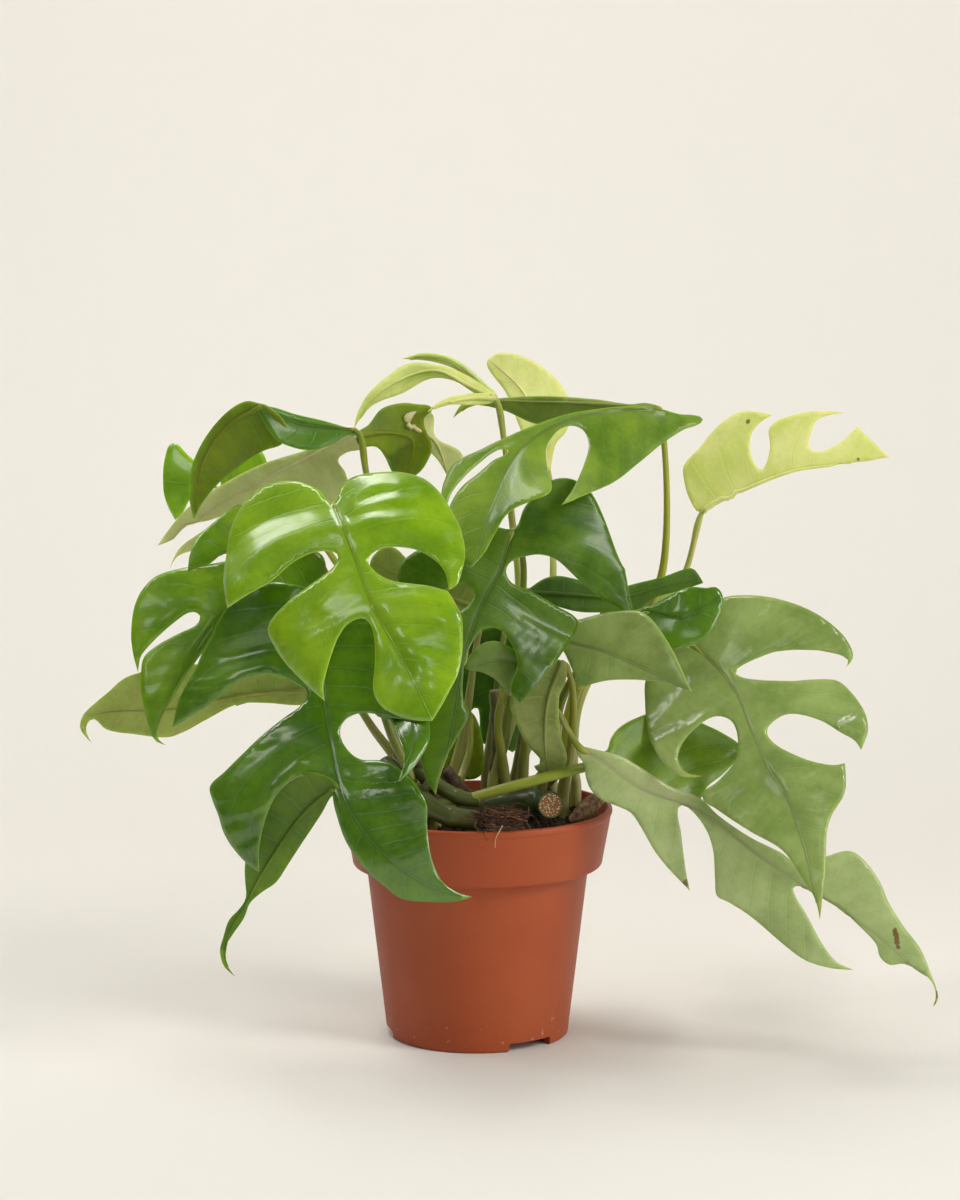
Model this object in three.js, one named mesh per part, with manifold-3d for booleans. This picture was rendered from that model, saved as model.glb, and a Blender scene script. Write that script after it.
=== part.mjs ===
// A potted rhaphidophora tetrasperma: a plastic nursery pot, its soil, short vines, and split leaves
// that each grow from their own stalk. Millimetres, +Z up, the origin at the centre of the pot's foot.
import * as THREE from "three";
import { mergeVertices } from "three/addons/utils/BufferGeometryUtils.js";
import Module from "manifold-3d";

const wasm = await Module();
wasm.setup();

// Pot
const RIM_RADIUS = 60;
const POT_HEIGHT = 103;
const COLLAR_HEIGHT = 26;
const COLLAR_FOOT = POT_HEIGHT - COLLAR_HEIGHT;
const COLLAR_FOOT_RADIUS = 55.5;
const BODY_TOP_RADIUS = 49.5;
const FOOT_RADIUS = 40.4;
const WALL = 1.3;
const BEVEL = 0.8;
const RIM_BAND = 2.6;
const SHOULDER = 2;
const FOOT_HEIGHT = 4.5;
const FOOT_RING = 5;
const PAD_RADIUS = 14;
const NOTCH_WIDTH = 22.5;
const NOTCH_HEIGHT = 4;
const NOTCH_COUNT = 3;
const FIRST_NOTCH_ANGLE = -54;
const POT_SIDES = 48;

// Planting
const SOIL_TOP = 101;
const SOIL_EDGE = 95;
const SOIL_DOME = 2;
const SOIL_SIDES = 24;
const GAP = 0.3;
const SOIL_GAP = 0.5;
const STALK_SINK = 12;
const STALK_RISE = 9;
const HOLE_SIDES = 8;

// Foliage
const BLADE = 0.8;
const EDGE_STEP = 9;
const FACE_STEP = 14;
const CREASE = 3;
const DROOP_REACH = 50;
const RIB_SAMPLES = 40;
const KNUCKLE = 3;
const STALK_RADIUS = 2.2;
const STALK_SIDES = 6;
const STALK_STEPS = 13;
const VINE_SIDES = 8;
const VINE_STEPS = 6;

// The view that the leaf tracings belong to: a picture 960 by 1200 pixels, seen from 1.6 m in front of
// the pot and 0.42 m above its foot, looking 8 degrees down.
const EYE = new THREE.Vector3(1.1, -1600, 420);
const PITCH = THREE.MathUtils.degToRad(8);
const FOCAL = 3660;
const PICTURE_CENTER = [480, 600];
const PIXEL = 0.444;

const LOOK = new THREE.Vector3(0, Math.cos(PITCH), -Math.sin(PITCH));
const RISE = new THREE.Vector3(0, Math.sin(PITCH), Math.cos(PITCH));

// The point seen at pixel (px, py), at depth mm behind the pot's axis (negative is nearer the eye).
function sight(px, py, depth) {
  const ray = LOOK.clone()
    .addScaledVector(RISE, (PICTURE_CENTER[1] - py) / FOCAL)
    .add(new THREE.Vector3((px - PICTURE_CENTER[0]) / FOCAL, 0, 0));
  return EYE.clone().addScaledVector(ray, (depth - EYE.y) / ray.y);
}

// Numbers written as "x,y x,y! x,y", where ! marks a pointed tip, as a list of { at, sharp }.
function trace(text) {
  return text.trim().split(/\s+/).map((word) => ({
    at: word.replace("!", "").split(",").map(Number),
    sharp: word.endsWith("!"),
  }));
}

// The leaves. edge is a blade's outline and rib its midrib, from the stalk to the tip, both as traced
// pixels, the rib with its depth. lean says how far back each side of the rib goes (mm of depth for
// each mm across) and droop how far it has curved back 50 mm out. The first value is for the side on
// the left hand of someone walking from the stalk to the tip. stalk is the stalk's centre line from
// the blade down to where it enters the soil at root, in mm.
const LEAVES = {
  lime_front: {
    color: 0x86a81c,
    blades: [{
      rib: "333,502,-80 348,539,-92 371,603,-108 409,672,-120 432,720,-126",
      edge: `333,502 318,489 294,481 265,485 242,505 229,532 225,560 224,585 227,608! 245,597 271,581
        292,563 309,554 326,551 337,554 337,562 325,574 303,590 285,604 268,627 275,648 289,667 306,684
        325,701! 324,688 327,672 333,650 341,632 352,621 365,619 373,632 375,660 373,690 380,705
        396,715 414,720 432,721! 441,707 450,690 458,674 462,656 463,636 461,615 448,591! 430,586
        405,583 390,580 376,572 368,560 376,551 390,547 414,549 431,557 444,570 449,590! 458,583
        462,571 465,556 464,542 459,525 450,508 438,490 423,478 400,472 379,472 355,476 341,486`,
      lean: [0, 0.05],
      droop: [9, 9],
    }],
    stalk: "333,503,-79 343,520,-64 356,560,-44 374,612,-31 405,690,-24",
    root: [-13, -12],
  },
  left_mid: {
    color: 0x54801f,
    blades: [{
      rib: "310,550,-16 262,574,-23 215,622,-34 172,690,-42 152,738,-46",
      edge: `310,549 296,545 270,550 240,558 205,565 182,568 156,576 142,590 134,608 131,635 133,654
        138,672! 139,663 142,654 160,635 184,615 193,612 200,616 196,625 180,633 158,645 144,657
        141,672 141,690 144,708 150,732 157,742 166,745! 159,740 157,732 162,715 172,700 184,679
        197,660 209,644 221,622 235,607 280,598 312,590 322,578 326,566 322,555`,
      lean: [-0.1, 0.1],
      droop: [6, 10],
    }, {
      rib: "300,549,-17 250,545,-20 188,568,-27",
      edge: `306,553 290,530 265,512 241,504 219,518 200,535 190,554 188,572! 198,571 211,563 228,552
        250,560 285,562`,
      lean: [0, 0.2],
      droop: [4, 6],
    }],
    stalk: "309,550,-15 330,580,-14 365,650,-16 395,715,-16 415,770,-15",
    root: [-32, -14],
  },
  left_low: {
    color: 0x3d6b1a,
    blades: [{
      rib: "318,590,-58 322,650,-61 323,690,-68 331,745,-80 347,805,-90 385,855,-97 430,886,-99 472,897,-97",
      edge: `322,648 312,630 318,604 305,588 290,584 270,583 244,594 224,612 212,636 198,663 186,685
        179,700 172,728! 182,722 197,713 213,702 238,682 263,674 280,676 297,684 307,693 301,705
        285,717 261,736 241,755 224,772 210,786 212,800 218,816 223,832 232,847 246,863 259,872!
        259,850 263,828 272,803 285,786 300,777 315,776 329,784 335,810 346,842 366,870 383,885
        402,899 425,902 455,902 472,897! 457,892 443,882 435,868 430,850 427,824 427,805 417,786
        406,774 393,764 378,760 360,759 347,749 340,733 345,720 360,713 377,714 400,719 425,720
        438,700 440,672 428,645 405,625 378,612 352,615 335,630`,
      lean: [0.05, 0],
      droop: [-12, 9],
    }, {
      rib: "380,690,-72 410,712,-78 414,740,-91 398,781,-104",
      edge: `372,695 375,714 391,722 397,733 404,750 404,764 398,782! 411,771 421,757 429,742 430,728
        426,708 410,692 390,686`,
      lean: [0, 0],
      droop: [0, 0],
    }, {
      rib: "334,788,-87 305,812,-78 265,868,-72 246,904,-69 227,940,-66 235,975,-64",
      edge: `340,790 331,797 322,813 302,843 287,866 276,882 262,892 250,903 244,918 233,934 226,946
        226,962 235,976! 224,966 220,950 223,938 229,920 240,908 246,897 245,880 245,864 250,840
        262,806 282,782 305,772 330,778`,
      lean: [0.1, -0.1],
      droop: [6, 6],
    }],
    stalk: "322,652,-61 336,640,-52 366,668,-42 392,735,-36 412,785,-33",
    root: [-29, -29],
  },
  left_far: {
    color: 0x9a9f4a,
    blades: [{
      rib: "314,690,2 250,694,-8 170,710,-18 110,712,-26 88,717,-28",
      edge: `316,692 300,680 280,676 240,668 200,664 165,666 138,673 123,679 108,692 96,702 83,715
        80,727 84,735 92,743! 87,734 87,724 94,719 106,729 134,734 167,737 185,731 205,720 238,704
        270,703 299,705 312,701`,
      lean: [0.35, -0.3],
      droop: [5, 0],
    }],
    stalk: "314,690,2 345,694,2 374,730,2 402,775,4",
    root: [-42, 2],
  },
  top_left_arch: {
    color: 0x6f7d16,
    blades: [{
      rib: "357,431,-14 300,424,-20 258,409,-26",
      edge: `359,431 345,427 325,421 299,415 258,406 263,420 276,439 295,448 314,450 330,445 346,436`,
      lean: [-0.7, 0.5],
      droop: [0, 0],
    }, {
      rib: "262,406,-25 228,426,-22 204,460,-12 194,519,2",
      edge: `268,406 258,403 246,401 228,411 209,432 195,457 189,482 190,503 194,519! 202,503 219,483
        242,464 263,451 284,442 286,424`,
      lean: [0.3, -0.2],
      droop: [0, 0],
    }, {
      rib: "357,431,-13 320,452,6 270,477,28 210,512,50 165,552,68",
      edge: `362,436 340,438 300,452 262,464 230,480 195,502 176,520 158,545! 173,539 184,526 205,521
        235,516 215,524 195,536 178,550 169,571! 178,556 200,549 235,538 275,520 320,512 348,492
        345,472 338,460 348,452 362,448`,
      lean: [0.2, -0.2],
      droop: [0, 0],
    }, {
      rib: "358,436,-12 385,432,-3 412,440,8 407,475,22",
      edge: `356,434 368,425 381,409 401,403 416,404 432,408 424,418 425,428 432,446 427,462 417,474
        404,477 393,472 386,459 376,447 360,446`,
      lean: [0, 0.2],
      droop: [0, 0],
    }, {
      rib: "406,424,3 434,440,16 448,474,28",
      edge: `404,416 426,411 433,415 435,436 463,456 447,476! 438,460 424,446 412,430`,
      lean: [0, 0],
      droop: [0, 0],
    }],
    stalk: "358,431,-14 366,472,-13 384,560,-8 418,690,2 438,770,8",
    root: [-26, 12],
  },
  back_left: {
    color: 0x93a51e,
    blades: [{
      rib: "274,494,74 235,490,84 200,486,90 170,482,94",
      edge: `276,496 271,478 262,452 246,446 225,452 203,464 190,457 173,443 165,457 163,488 167,505
        175,520! 183,512 190,499 208,485 220,481 216,492 203,504 193,514 194,522! 223,515 255,506`,
      lean: [-0.2, 0.2],
      droop: [4, 4],
    }],
    stalk: "274,494,74 320,540,62 380,640,46 425,740,36",
    root: [-22, 34],
  },
  top_arch: {
    color: 0x9fb53e,
    blades: [{
      rib: "495,398,20 470,387,23 438,371,30 407,377,33 375,397,30 354,428,26",
      edge: `498,398 491,391 478,382 462,373 438,365 407,364 383,380 366,397 357,415 354,429! 360,419
        373,405 401,394 430,379 454,381 474,393 488,400`,
      lean: [-0.8, 0.8],
      droop: [0, 0],
    }, {
      rib: "492,394,22 470,377,40 446,361,50 403,358,60",
      edge: `496,396 487,385 471,370 448,356 422,353 402,359! 428,361 450,367 470,379 484,395`,
      lean: [0.4, 0],
      droop: [0, 0],
    }, {
      rib: "495,398,20 465,399,11 428,410,-3",
      edge: `497,395 480,393 454,396 440,401 427,412! 450,405 475,405 494,402`,
      lean: [-0.5, 0.3],
      droop: [0, 0],
    }],
    stalk: "495,398,20 504,440,26 512,520,26 519,580,24 516,700,20",
    root: [7, 23],
  },
  top_back: {
    color: 0xb0c24c,
    blades: [{
      rib: "548,470,56 540,430,66 522,390,80 490,360,92",
      edge: `548,472 530,450 516,418 506,393 488,368 488,360 500,353 525,357 552,375 569,398 572,414
        566,432 556,444 552,460`,
      lean: [0.1, 0.1],
      droop: [4, 4],
    }],
    stalk: "548,470,56 552,520,48 553,580,40 545,700,34",
    root: [17, 31],
  },
  top_ridge: {
    color: 0x4d7a24,
    blades: [{
      rib: "657,410,12 610,411,4 560,423,-14 520,451,-34 495,500,-56 473,566,-74",
      edge: `657,408 680,414 695,415 703,419 697,425 685,429 663,443 640,462 616,481 595,491 561,504! 573,489
        584,463 589,445 585,432 575,426 562,428 553,436 546,449 548,470 551,490 530,501 511,512
        495,534 485,552 472,567! 460,560 450,544 446,524 450,505 462,486 477,474 492,461 509,450
        498,450 478,464 462,479 451,494 445,512! 441,498 444,481 454,463 483,448 520,431 564,415
        605,408 635,406`,
      lean: [-0.9, 0.2],
      droop: [3, 6],
    }, {
      rib: "655,408,13 600,404,24 540,402,32 480,403,36 454,419,34",
      edge: `662,410 648,403 630,404 593,399 538,396 480,400 463,403 453,418! 462,411 474,405 503,410
        538,424 560,419 600,411 640,410`,
      lean: [0.5, 0],
      droop: [0, 0],
    }],
    stalk: "657,411,13 664,442,14 661,577,18 634,628,14 590,664,8 569,715,4 566,775,2",
    root: [38, 3],
  },
  center: {
    color: 0x47791c,
    blades: [{
      rib: "513,530,-36 499,572,-43 483,601,-49 470,635,-56 462,670,-62 450,740,-72 436,793,-77",
      edge: `514,528 524,508 536,492 552,480 572,479 590,491 604,518 614,550 624,578 630,605 631,622!
        618,610 600,597 582,583 560,564 546,557 530,556 511,562 506,572 512,583 530,591 555,605
        577,619 576,630 558,658 536,686 520,704! 511,694 511,683 517,665 512,647 502,632 491,627
        480,632 468,652 463,678 464,702 469,714 460,733 447,756 440,775 436,795! 427,780 421,757
        426,735 420,705 408,680 404,655 414,632 436,618 460,611 471,602 475,592 462,585 440,591
        412,592 398,580 402,562 425,546 455,534 490,526`,
      lean: [0, 0],
      droop: [7, 6],
    }],
    stalk: "513,531,-35 523,560,-29 518,640,-22 504,740,-17",
    root: [6, -15],
  },
  center_back: {
    color: 0x4c6a20,
    blades: [{
      rib: "480,608,-14 430,590,-17 372,562,-22",
      edge: `482,610 476,588 455,572 432,560 412,562 395,548 382,548 370,562 374,578 395,604 430,622
        460,622`,
      lean: [-0.3, 0.3],
      droop: [0, 0],
    }],
    stalk: "480,608,-14 474,660,-8 462,740,-6",
    root: [-13, -5],
  },
  mid_dark: {
    color: 0x2f4d12,
    blades: [{
      rib: "526,592,-8 570,594,-6 620,597,-2 665,586,2 703,580,6",
      edge: `526,594 534,585 546,578 560,576 585,582 606,592 630,585 662,577 691,568 698,574 703,583!
        680,591 655,598 640,609 610,612 580,612 556,606`,
      lean: [0.3, -0.4],
      droop: [0, 0],
    }],
    stalk: "526,592,-8 528,640,-6 522,740,-2",
    root: [16, 1],
  },
  right_fold: {
    color: 0x3f7030,
    blades: [{
      rib: "645,612,-26 682,618,-33 720,598,-30",
      edge: `640,612 655,603 674,593 690,587 707,588 716,587 723,597 718,620 704,639 676,650 660,651
        650,635`,
      lean: [0.4, -0.3],
      droop: [0, 4],
    }],
    stalk: "645,613,-26 622,640,-20 584,664,-12 560,705,-3 552,760,-1",
    root: [24, 0],
  },
  right_mid: {
    color: 0x6d8f48,
    blades: [{
      rib: "556,638,-36 575,644,-40 600,650,-47 640,667,-60 691,691,-74",
      edge: `556,636 566,625 580,619 611,612 638,611 650,618 664,636 674,653 684,675 692,692! 672,684
        641,680 612,680 592,684 578,690! 574,675 566,656`,
      lean: [0.05, -0.2],
      droop: [4, 0],
    }],
    stalk: "556,638,-36 547,665,-34 530,710,-30 524,760,-18",
    root: [20, -13],
  },
  right_large: {
    color: 0x7c9a4a,
    blades: [{
      rib: "692,645,-24 715,666,-32 737,694,-40 750,727,-48 767,766,-58 785,794,-65 805,850,-76 820,919,-84",
      edge: `690,645 700,628 708,611 722,598 750,595 783,600 815,613 838,630 850,646 853,658 846,667!
        848,660 832,653 804,650 776,652 754,660 737,669 736,674 750,679 790,681 835,680 850,691
        864,711 868,730 861,750! 855,741 841,733 819,720 793,714 777,719 767,731 774,743 793,754
        815,762 834,765 845,763! 846,785 843,797 832,815 827,832 826,860 824,885 820,920! 815,899
        804,881 783,851 750,831 718,810 702,796 718,781 733,764 738,748 733,723 717,716 700,724
        684,741 678,757 684,771 702,776! 684,777 668,768 655,751 648,729 645,703 646,678 660,655
        676,644`,
      lean: [0, -0.1],
      droop: [5, 0],
    }],
    stalk: "692,646,-23 668,690,-8 632,742,-6 600,762,-32 574,770,-41 540,779,-44 500,790,-43 468,799,-41",
    root: [-18, -36],
  },
  right_low: {
    color: 0x71923f,
    blades: [{
      rib: `580,748,-50 600,760,-50 640,788,-48 702,812,-46 759,855,-48 806,886,-52 850,915,-56
        900,955,-60 934,1004,-62`,
      edge: `578,747 577,754 584,764 586,778 591,790 602,800 617,806 631,813 642,829 654,850 668,868
        690,891! 686,872 681,834 678,808 686,806 704,826 713,850 715,880 717,896 728,902 750,916
        783,944 805,960 830,968 854,970! 837,962 822,943 808,917 793,889 800,886 814,894 837,906
        858,925 876,944 880,957 890,965 904,964 924,974 933,984 936,996 933,1007! 938,1000 937,990
        931,974 920,948 904,927 889,903 880,882 865,861 850,851 827,856 800,864 780,852 750,837
        718,815 700,798 670,786 645,770 620,756 598,750`,
      lean: [0.1, -0.1],
      droop: [4, 5],
    }, {
      rib: "592,754,-50 640,784,-48 704,812,-46",
      edge: `588,752 600,752 607,750 611,738 620,727 636,718 655,712 680,713 702,723 725,734 741,747
        736,760 722,775 708,786 698,800 675,796 640,780 612,764`,
      lean: [0.9, 0],
      droop: [-6, 0],
    }],
    stalk: "580,748,-50 568,730,-41 558,713,-30 549,712,-20 546,740,-14 544,775,-11",
    root: [28, -9],
  },
  right_pale: {
    color: 0xb4c45c,
    blades: [{
      rib: "703,511,22 728,497,20 772,478,16 826,465,14 889,457,16",
      edge: `700,512 690,500 684,480 684,466 700,447 713,431 728,418 744,411 772,415! 760,423 752,433
        750,448 756,466 763,469 770,448 770,427 793,415 825,411 844,413! 819,419 811,433 809,447
        817,452 838,444 857,427! 870,439 889,457! 858,462 826,466 793,471 750,487 722,502`,
      lean: [0.4, 0],
      droop: [0, 0],
    }],
    stalk: "703,511,22 686,570,26 655,630,24 600,664,18 578,705,14 573,765,12",
    root: [44, 13],
  },
  low_fold: {
    color: 0x9a9d58,
    blades: [{
      rib: "563,662,-43 548,700,-45 545,740,-42 548,775,-38",
      edge: `557,659 565,664 566,680 559,697 561,735 567,760 558,774 546,776 534,766 542,763 526,743
        515,720 510,700 526,682 545,667`,
      lean: [0, 0],
      droop: [0, 0],
    }],
    stalk: "563,664,-42 572,685,-32 572,740,-24",
    root: [38, -14],
  },
  low_sage: {
    color: 0x68883c,
    blades: [{
      rib: "522,664,-50 495,660,-52 467,668,-54",
      edge: `520,656 508,646 495,641 480,645 467,660 466,669 480,672 492,677 502,686 509,696 516,688`,
      lean: [-0.1, 0],
      droop: [0, 0],
    }],
    stalk: "518,668,-50 506,686,-44 498,720,-33 504,770,-20",
    root: [13, -14],
  },
  low_back: {
    color: 0x86a52e,
    blades: [{
      rib: "470,716,24 464,745,22 450,772,20",
      edge: `468,712 480,728 484,760 480,776 462,779 444,767 452,742`,
      lean: [0, 0],
      droop: [0, 0],
    }],
    stalk: "470,717,24 470,745,19 462,775,13",
    root: [-10, 8],
  },
  back_center: {
    color: 0x3c5714,
    blades: [{
      rib: "505,630,42 497,690,54 500,750,60",
      edge: `505,626 478,630 452,648 440,680 450,716 466,738 470,712 478,708 482,742 496,744 512,752!
        524,742 520,716 528,712 548,690 553,655 530,632`,
      lean: [0.2, 0.2],
      droop: [6, 6],
    }],
    stalk: "505,632,42 500,660,37 494,720,38",
    root: [4, 40],
  },
  back_low_left: {
    color: 0x4b6b1c,
    blades: [{
      rib: "425,600,46 380,620,66 310,655,100 250,700,122",
      edge: `426,594 400,588 360,598 335,606 345,622 335,630 300,618 262,635 240,665 236,706! 262,698
        285,690 300,672 310,680 306,704 340,702 368,700 378,670 388,676 386,706 420,702 442,670
        444,630`,
      lean: [0.7, 0.3],
      droop: [6, 6],
    }],
    stalk: "425,601,46 440,640,44 448,720,46",
    root: [-12, 45],
  },
  back_low_right: {
    color: 0x55752a,
    blades: [{
      rib: "610,604,40 650,615,66 700,640,100 728,680,122",
      edge: `606,600 638,592 672,592 676,606 688,608 692,598 718,616 733,640 736,668 728,692! 712,684
        690,676 684,656 674,656 664,680 635,676 612,660 600,630`,
      lean: [0.4, 0.7],
      droop: [6, 6],
    }],
    stalk: "610,605,40 598,640,38 572,720,36",
    root: [34, 34],
  },
};

// Short vines and other pieces of the old stem, as centre lines with their radius.
const VINES = {
  vine_left: { color: 0x33301a, radius: 3.4, path: "414,757,-32 428,778,-30", root: [-19, -26] },
  vine_inner: { color: 0x38301c, radius: 3, path: "446,769,-24 456,784,-21", root: [-5, -15.5] },
  vine_middle: { color: 0x6b6a2c, radius: 3.6, path: "496,690,-4 499,740,-5", root: [8, -5] },
  vine_right: { color: 0x5f6a2a, radius: 3.2, path: "558,742,8 556,770,8", root: [30, 9] },
};
const CUT_STEM = {
  color: 0x2c4414,
  radius: 5.1,
  sides: 12,
  steps: 10,
  path: "551,805,-41 545,803,-33 526,802,-27 495,806,-25 460,811,-25",
};
const CLUMP_AT = [503, 818.5, -53];
const CLUMP_SIZE = new THREE.Vector3(13, 6, 5);
const CLUMP_LUMPS = 0.16;
const FIBRE_RADIUS = 0.5;
const FIBRE_SIDES = 4;
const FIBRE_STEPS = 5;
const CLUMP_FIBRES = [
  "498,818,-55 488,826,-59.5 484,834,-61.4 488,841,-61.2",
  "505,820,-55 500,830,-60.4 496,838,-61 495,848,-60.6",
  "512,815,-56 522,812,-58 533,816,-57 540,826,-61 541,831,-63",
  "490,812,-54 478,818,-58 475,826,-61 479,831,-61.6",
  "508,810,-52 516,803,-50 526,806,-48",
  "516,818,-56 526,822,-60 531,829,-62.5",
  "496,808,-52 488,803,-50 480,808,-48",
];
const SHEATH = {
  color: 0xb79a6a,
  rib: "571,818,-22 590,806,-14 606,796,-8",
  edge: "570,821 573,811 584,799 602,790 608,796 600,808 594,819 582,821",
  lean: [0.4, -0.2],
  droop: [0, 0],
};

// A mesh geometry as a closed body that can be cut and joined, and back.
function solid(geometry) {
  const bare = geometry.index ? geometry.toNonIndexed() : geometry.clone();
  bare.deleteAttribute("normal");
  bare.deleteAttribute("uv");
  const merged = mergeVertices(bare, 1e-3);
  return new wasm.Manifold(new wasm.Mesh({
    numProp: 3,
    vertProperties: merged.attributes.position.array,
    triVerts: new Uint32Array(merged.index.array),
  }));
}

function geometryOf(body) {
  const mesh = body.getMesh();
  const geometry = new THREE.BufferGeometry();
  geometry.setAttribute("position", new THREE.BufferAttribute(mesh.vertProperties, 3));
  geometry.setIndex(new THREE.BufferAttribute(mesh.triVerts, 1));
  geometry.computeVertexNormals();
  return geometry;
}

// A smooth outline through traced corners, as points about one step apart. It bends nowhere but at the
// points, and turns sharply only at pointed tips.
function smoothOutline(corners, step) {
  const points = corners.map(({ at }) => new THREE.Vector2(at[0], at[1]));
  const count = points.length;
  const ends = (i, side) => {
    const here = points[i];
    if (corners[i].sharp) return new THREE.Vector2();
    const before = points[(i + count - 1) % count];
    const after = points[(i + 1) % count];
    const reach = side > 0 ? after.distanceTo(here) : here.distanceTo(before);
    return after.clone().sub(before).normalize().multiplyScalar(side * reach / 3);
  };
  const outline = [];
  points.forEach((start, i) => {
    const j = (i + 1) % count;
    const end = points[j];
    const curve = new THREE.CubicBezierCurve(
      start, start.clone().add(ends(i, 1)), end.clone().add(ends(j, -1)), end,
    );
    const parts = Math.max(1, Math.round(start.distanceTo(end) / step));
    outline.push(...curve.getPoints(parts).slice(0, parts));
  });
  return outline;
}

// Whether point d lies inside the circle through the anticlockwise triangle a, b, c.
function inCircle(a, b, c, d) {
  const rows = [a, b, c].map((p) => {
    const x = p.x - d.x;
    const y = p.y - d.y;
    return [x, y, x * x + y * y];
  });
  const minor = (r, s) => rows[r][0] * rows[s][1] - rows[s][0] * rows[r][1];
  return minor(1, 2) * rows[0][2] - minor(0, 2) * rows[1][2] + minor(0, 1) * rows[2][2] > 1e-9;
}

const turn = (a, b, c) => (b.x - a.x) * (c.y - a.y) - (b.y - a.y) * (c.x - a.x);

// The edges that two triangles share, each as the two triangles and the corner opposite it in each.
function sharedEdges(triangles) {
  const seen = new Map();
  const shared = [];
  triangles.forEach((triangle, index) => {
    for (let k = 0; k < 3; k++) {
      const a = triangle[k];
      const b = triangle[(k + 1) % 3];
      const key = a < b ? `${a} ${b}` : `${b} ${a}`;
      const corner = triangle[(k + 2) % 3];
      if (seen.has(key)) shared.push({ a, b, near: seen.get(key), far: { index, corner } });
      else seen.set(key, { index, corner });
    }
  });
  return shared;
}

// Turns edges round until each pair of triangles is as full as it can be.
function flipEdges(points, triangles) {
  for (let round = 0; round < 40; round++) {
    const moved = new Set();
    for (const { a, b, near, far } of sharedEdges(triangles)) {
      if (moved.has(near.index) || moved.has(far.index)) continue;
      const [p, q, r, s] = [near.corner, b, a, far.corner].map((i) => points[i]);
      if (!inCircle(...triangles[near.index].map((i) => points[i]), s)) continue;
      if (turn(p, q, s) * turn(p, s, r) <= 0) continue;
      const first = [near.corner, b, far.corner];
      const second = [near.corner, far.corner, a];
      const order = (t) => (turn(...t.map((i) => points[i])) > 0 ? t : [t[0], t[2], t[1]]);
      triangles[near.index] = order(first);
      triangles[far.index] = order(second);
      moved.add(near.index).add(far.index);
    }
    if (!moved.size) return;
  }
}

// Fills an outline with triangles no longer than step inside, leaving its own points as they are.
function fill(outline, step) {
  const points = outline.map((p) => p.clone());
  const edgeCount = points.length;
  const triangles = THREE.ShapeUtils.triangulateShape(points, []).map((t) => (
    turn(...t.map((i) => points[i])) > 0 ? t : [t[0], t[2], t[1]]
  ));
  for (let round = 0; round < 12; round++) {
    flipEdges(points, triangles);
    const moved = new Set();
    const long = sharedEdges(triangles)
      .map((edge) => ({ ...edge, span: points[edge.a].distanceTo(points[edge.b]) }))
      .filter((edge) => edge.span > step)
      .sort((e, f) => f.span - e.span);
    for (const { a, b, near, far } of long) {
      if (moved.has(near.index) || moved.has(far.index)) continue;
      const middle = points.push(points[a].clone().lerp(points[b], 0.5)) - 1;
      for (const { index } of [near, far]) {
        const old = triangles[index];
        triangles[index] = old.map((i) => (i === a ? middle : i));
        triangles.push(old.map((i) => (i === b ? middle : i)));
        moved.add(index);
      }
    }
    if (!moved.size) break;
  }
  flipEdges(points, triangles);
  return { points, triangles, edgeCount };
}

// A blade's rib as a finely sampled list of { at, depth } with its length along it.
function ribOf(text) {
  const corners = trace(text).map(({ at }) => new THREE.Vector3(...at));
  return new THREE.CatmullRomCurve3(corners, false, "centripetal").getPoints(RIB_SAMPLES);
}

// How deep a blade lies at a pixel: the rib's depth, then back or forward by its lean and droop.
function depthAt(pixel, rib, { lean, droop }) {
  let best = null;
  for (let i = 0; i + 1 < rib.length; i++) {
    const start = rib[i];
    const along = new THREE.Vector2(rib[i + 1].x - start.x, rib[i + 1].y - start.y);
    const away = new THREE.Vector2(pixel.x - start.x, pixel.y - start.y);
    const low = i === 0 ? -Infinity : 0;
    const high = i + 2 === rib.length ? Infinity : 1;
    const t = THREE.MathUtils.clamp(away.dot(along) / along.lengthSq(), low, high);
    const foot = along.clone().multiplyScalar(t);
    const gap = away.distanceTo(foot);
    if (best && gap >= best.gap) continue;
    const side = away.x * along.y - away.y * along.x > 0 ? 0 : 1;
    best = { gap, side, depth: start.z + t * (rib[i + 1].z - start.z) };
  }
  const across = best.gap * PIXEL;
  const crease = Math.hypot(across, CREASE) - CREASE;
  return best.depth + lean[best.side] * crease + droop[best.side] * (across / DROOP_REACH) ** 2;
}

// Thickens an open surface of points and triangles into a closed body, half to each side.
function thicken(places, triangles, thickness) {
  const sheet = new THREE.BufferGeometry().setFromPoints(places);
  sheet.setIndex(triangles.flat());
  sheet.computeVertexNormals();
  const normals = places.map((_, i) => new THREE.Vector3().fromBufferAttribute(sheet.attributes.normal, i));
  const shifted = (amount) => places.map((p, i) => p.clone().addScaledVector(normals[i], amount));
  const vertices = [...shifted(thickness / 2), ...shifted(-thickness / 2)];
  const under = (i) => i + places.length;
  const paired = new Set(sharedEdges(triangles).flatMap(({ a, b }) => [`${a} ${b}`, `${b} ${a}`]));
  const faces = triangles.flatMap(([a, b, c]) => [[a, b, c], [under(a), under(c), under(b)]]);
  for (const triangle of triangles) {
    triangle.forEach((a, k) => {
      const b = triangle[(k + 1) % 3];
      if (paired.has(`${a} ${b}`)) return;
      faces.push([b, a, under(a)], [b, under(a), under(b)]);
    });
  }
  const body = new THREE.BufferGeometry().setFromPoints(vertices);
  body.setIndex(faces.flat());
  return body;
}

// One blade: its traced outline filled, laid at its depths and given its thickness.
function blade(spec) {
  const outline = smoothOutline(trace(spec.edge), EDGE_STEP / PIXEL);
  const { points, triangles } = fill(outline, FACE_STEP / PIXEL);
  const rib = ribOf(spec.rib);
  const places = points.map((p) => sight(p.x, p.y, depthAt(p, rib, spec)));
  // Pixels run down the picture, so a triangle that is anticlockwise in them faces away from the eye.
  const facing = triangles.map(([a, b, c]) => [a, c, b]);
  return solid(thicken(places, facing, BLADE));
}

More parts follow.
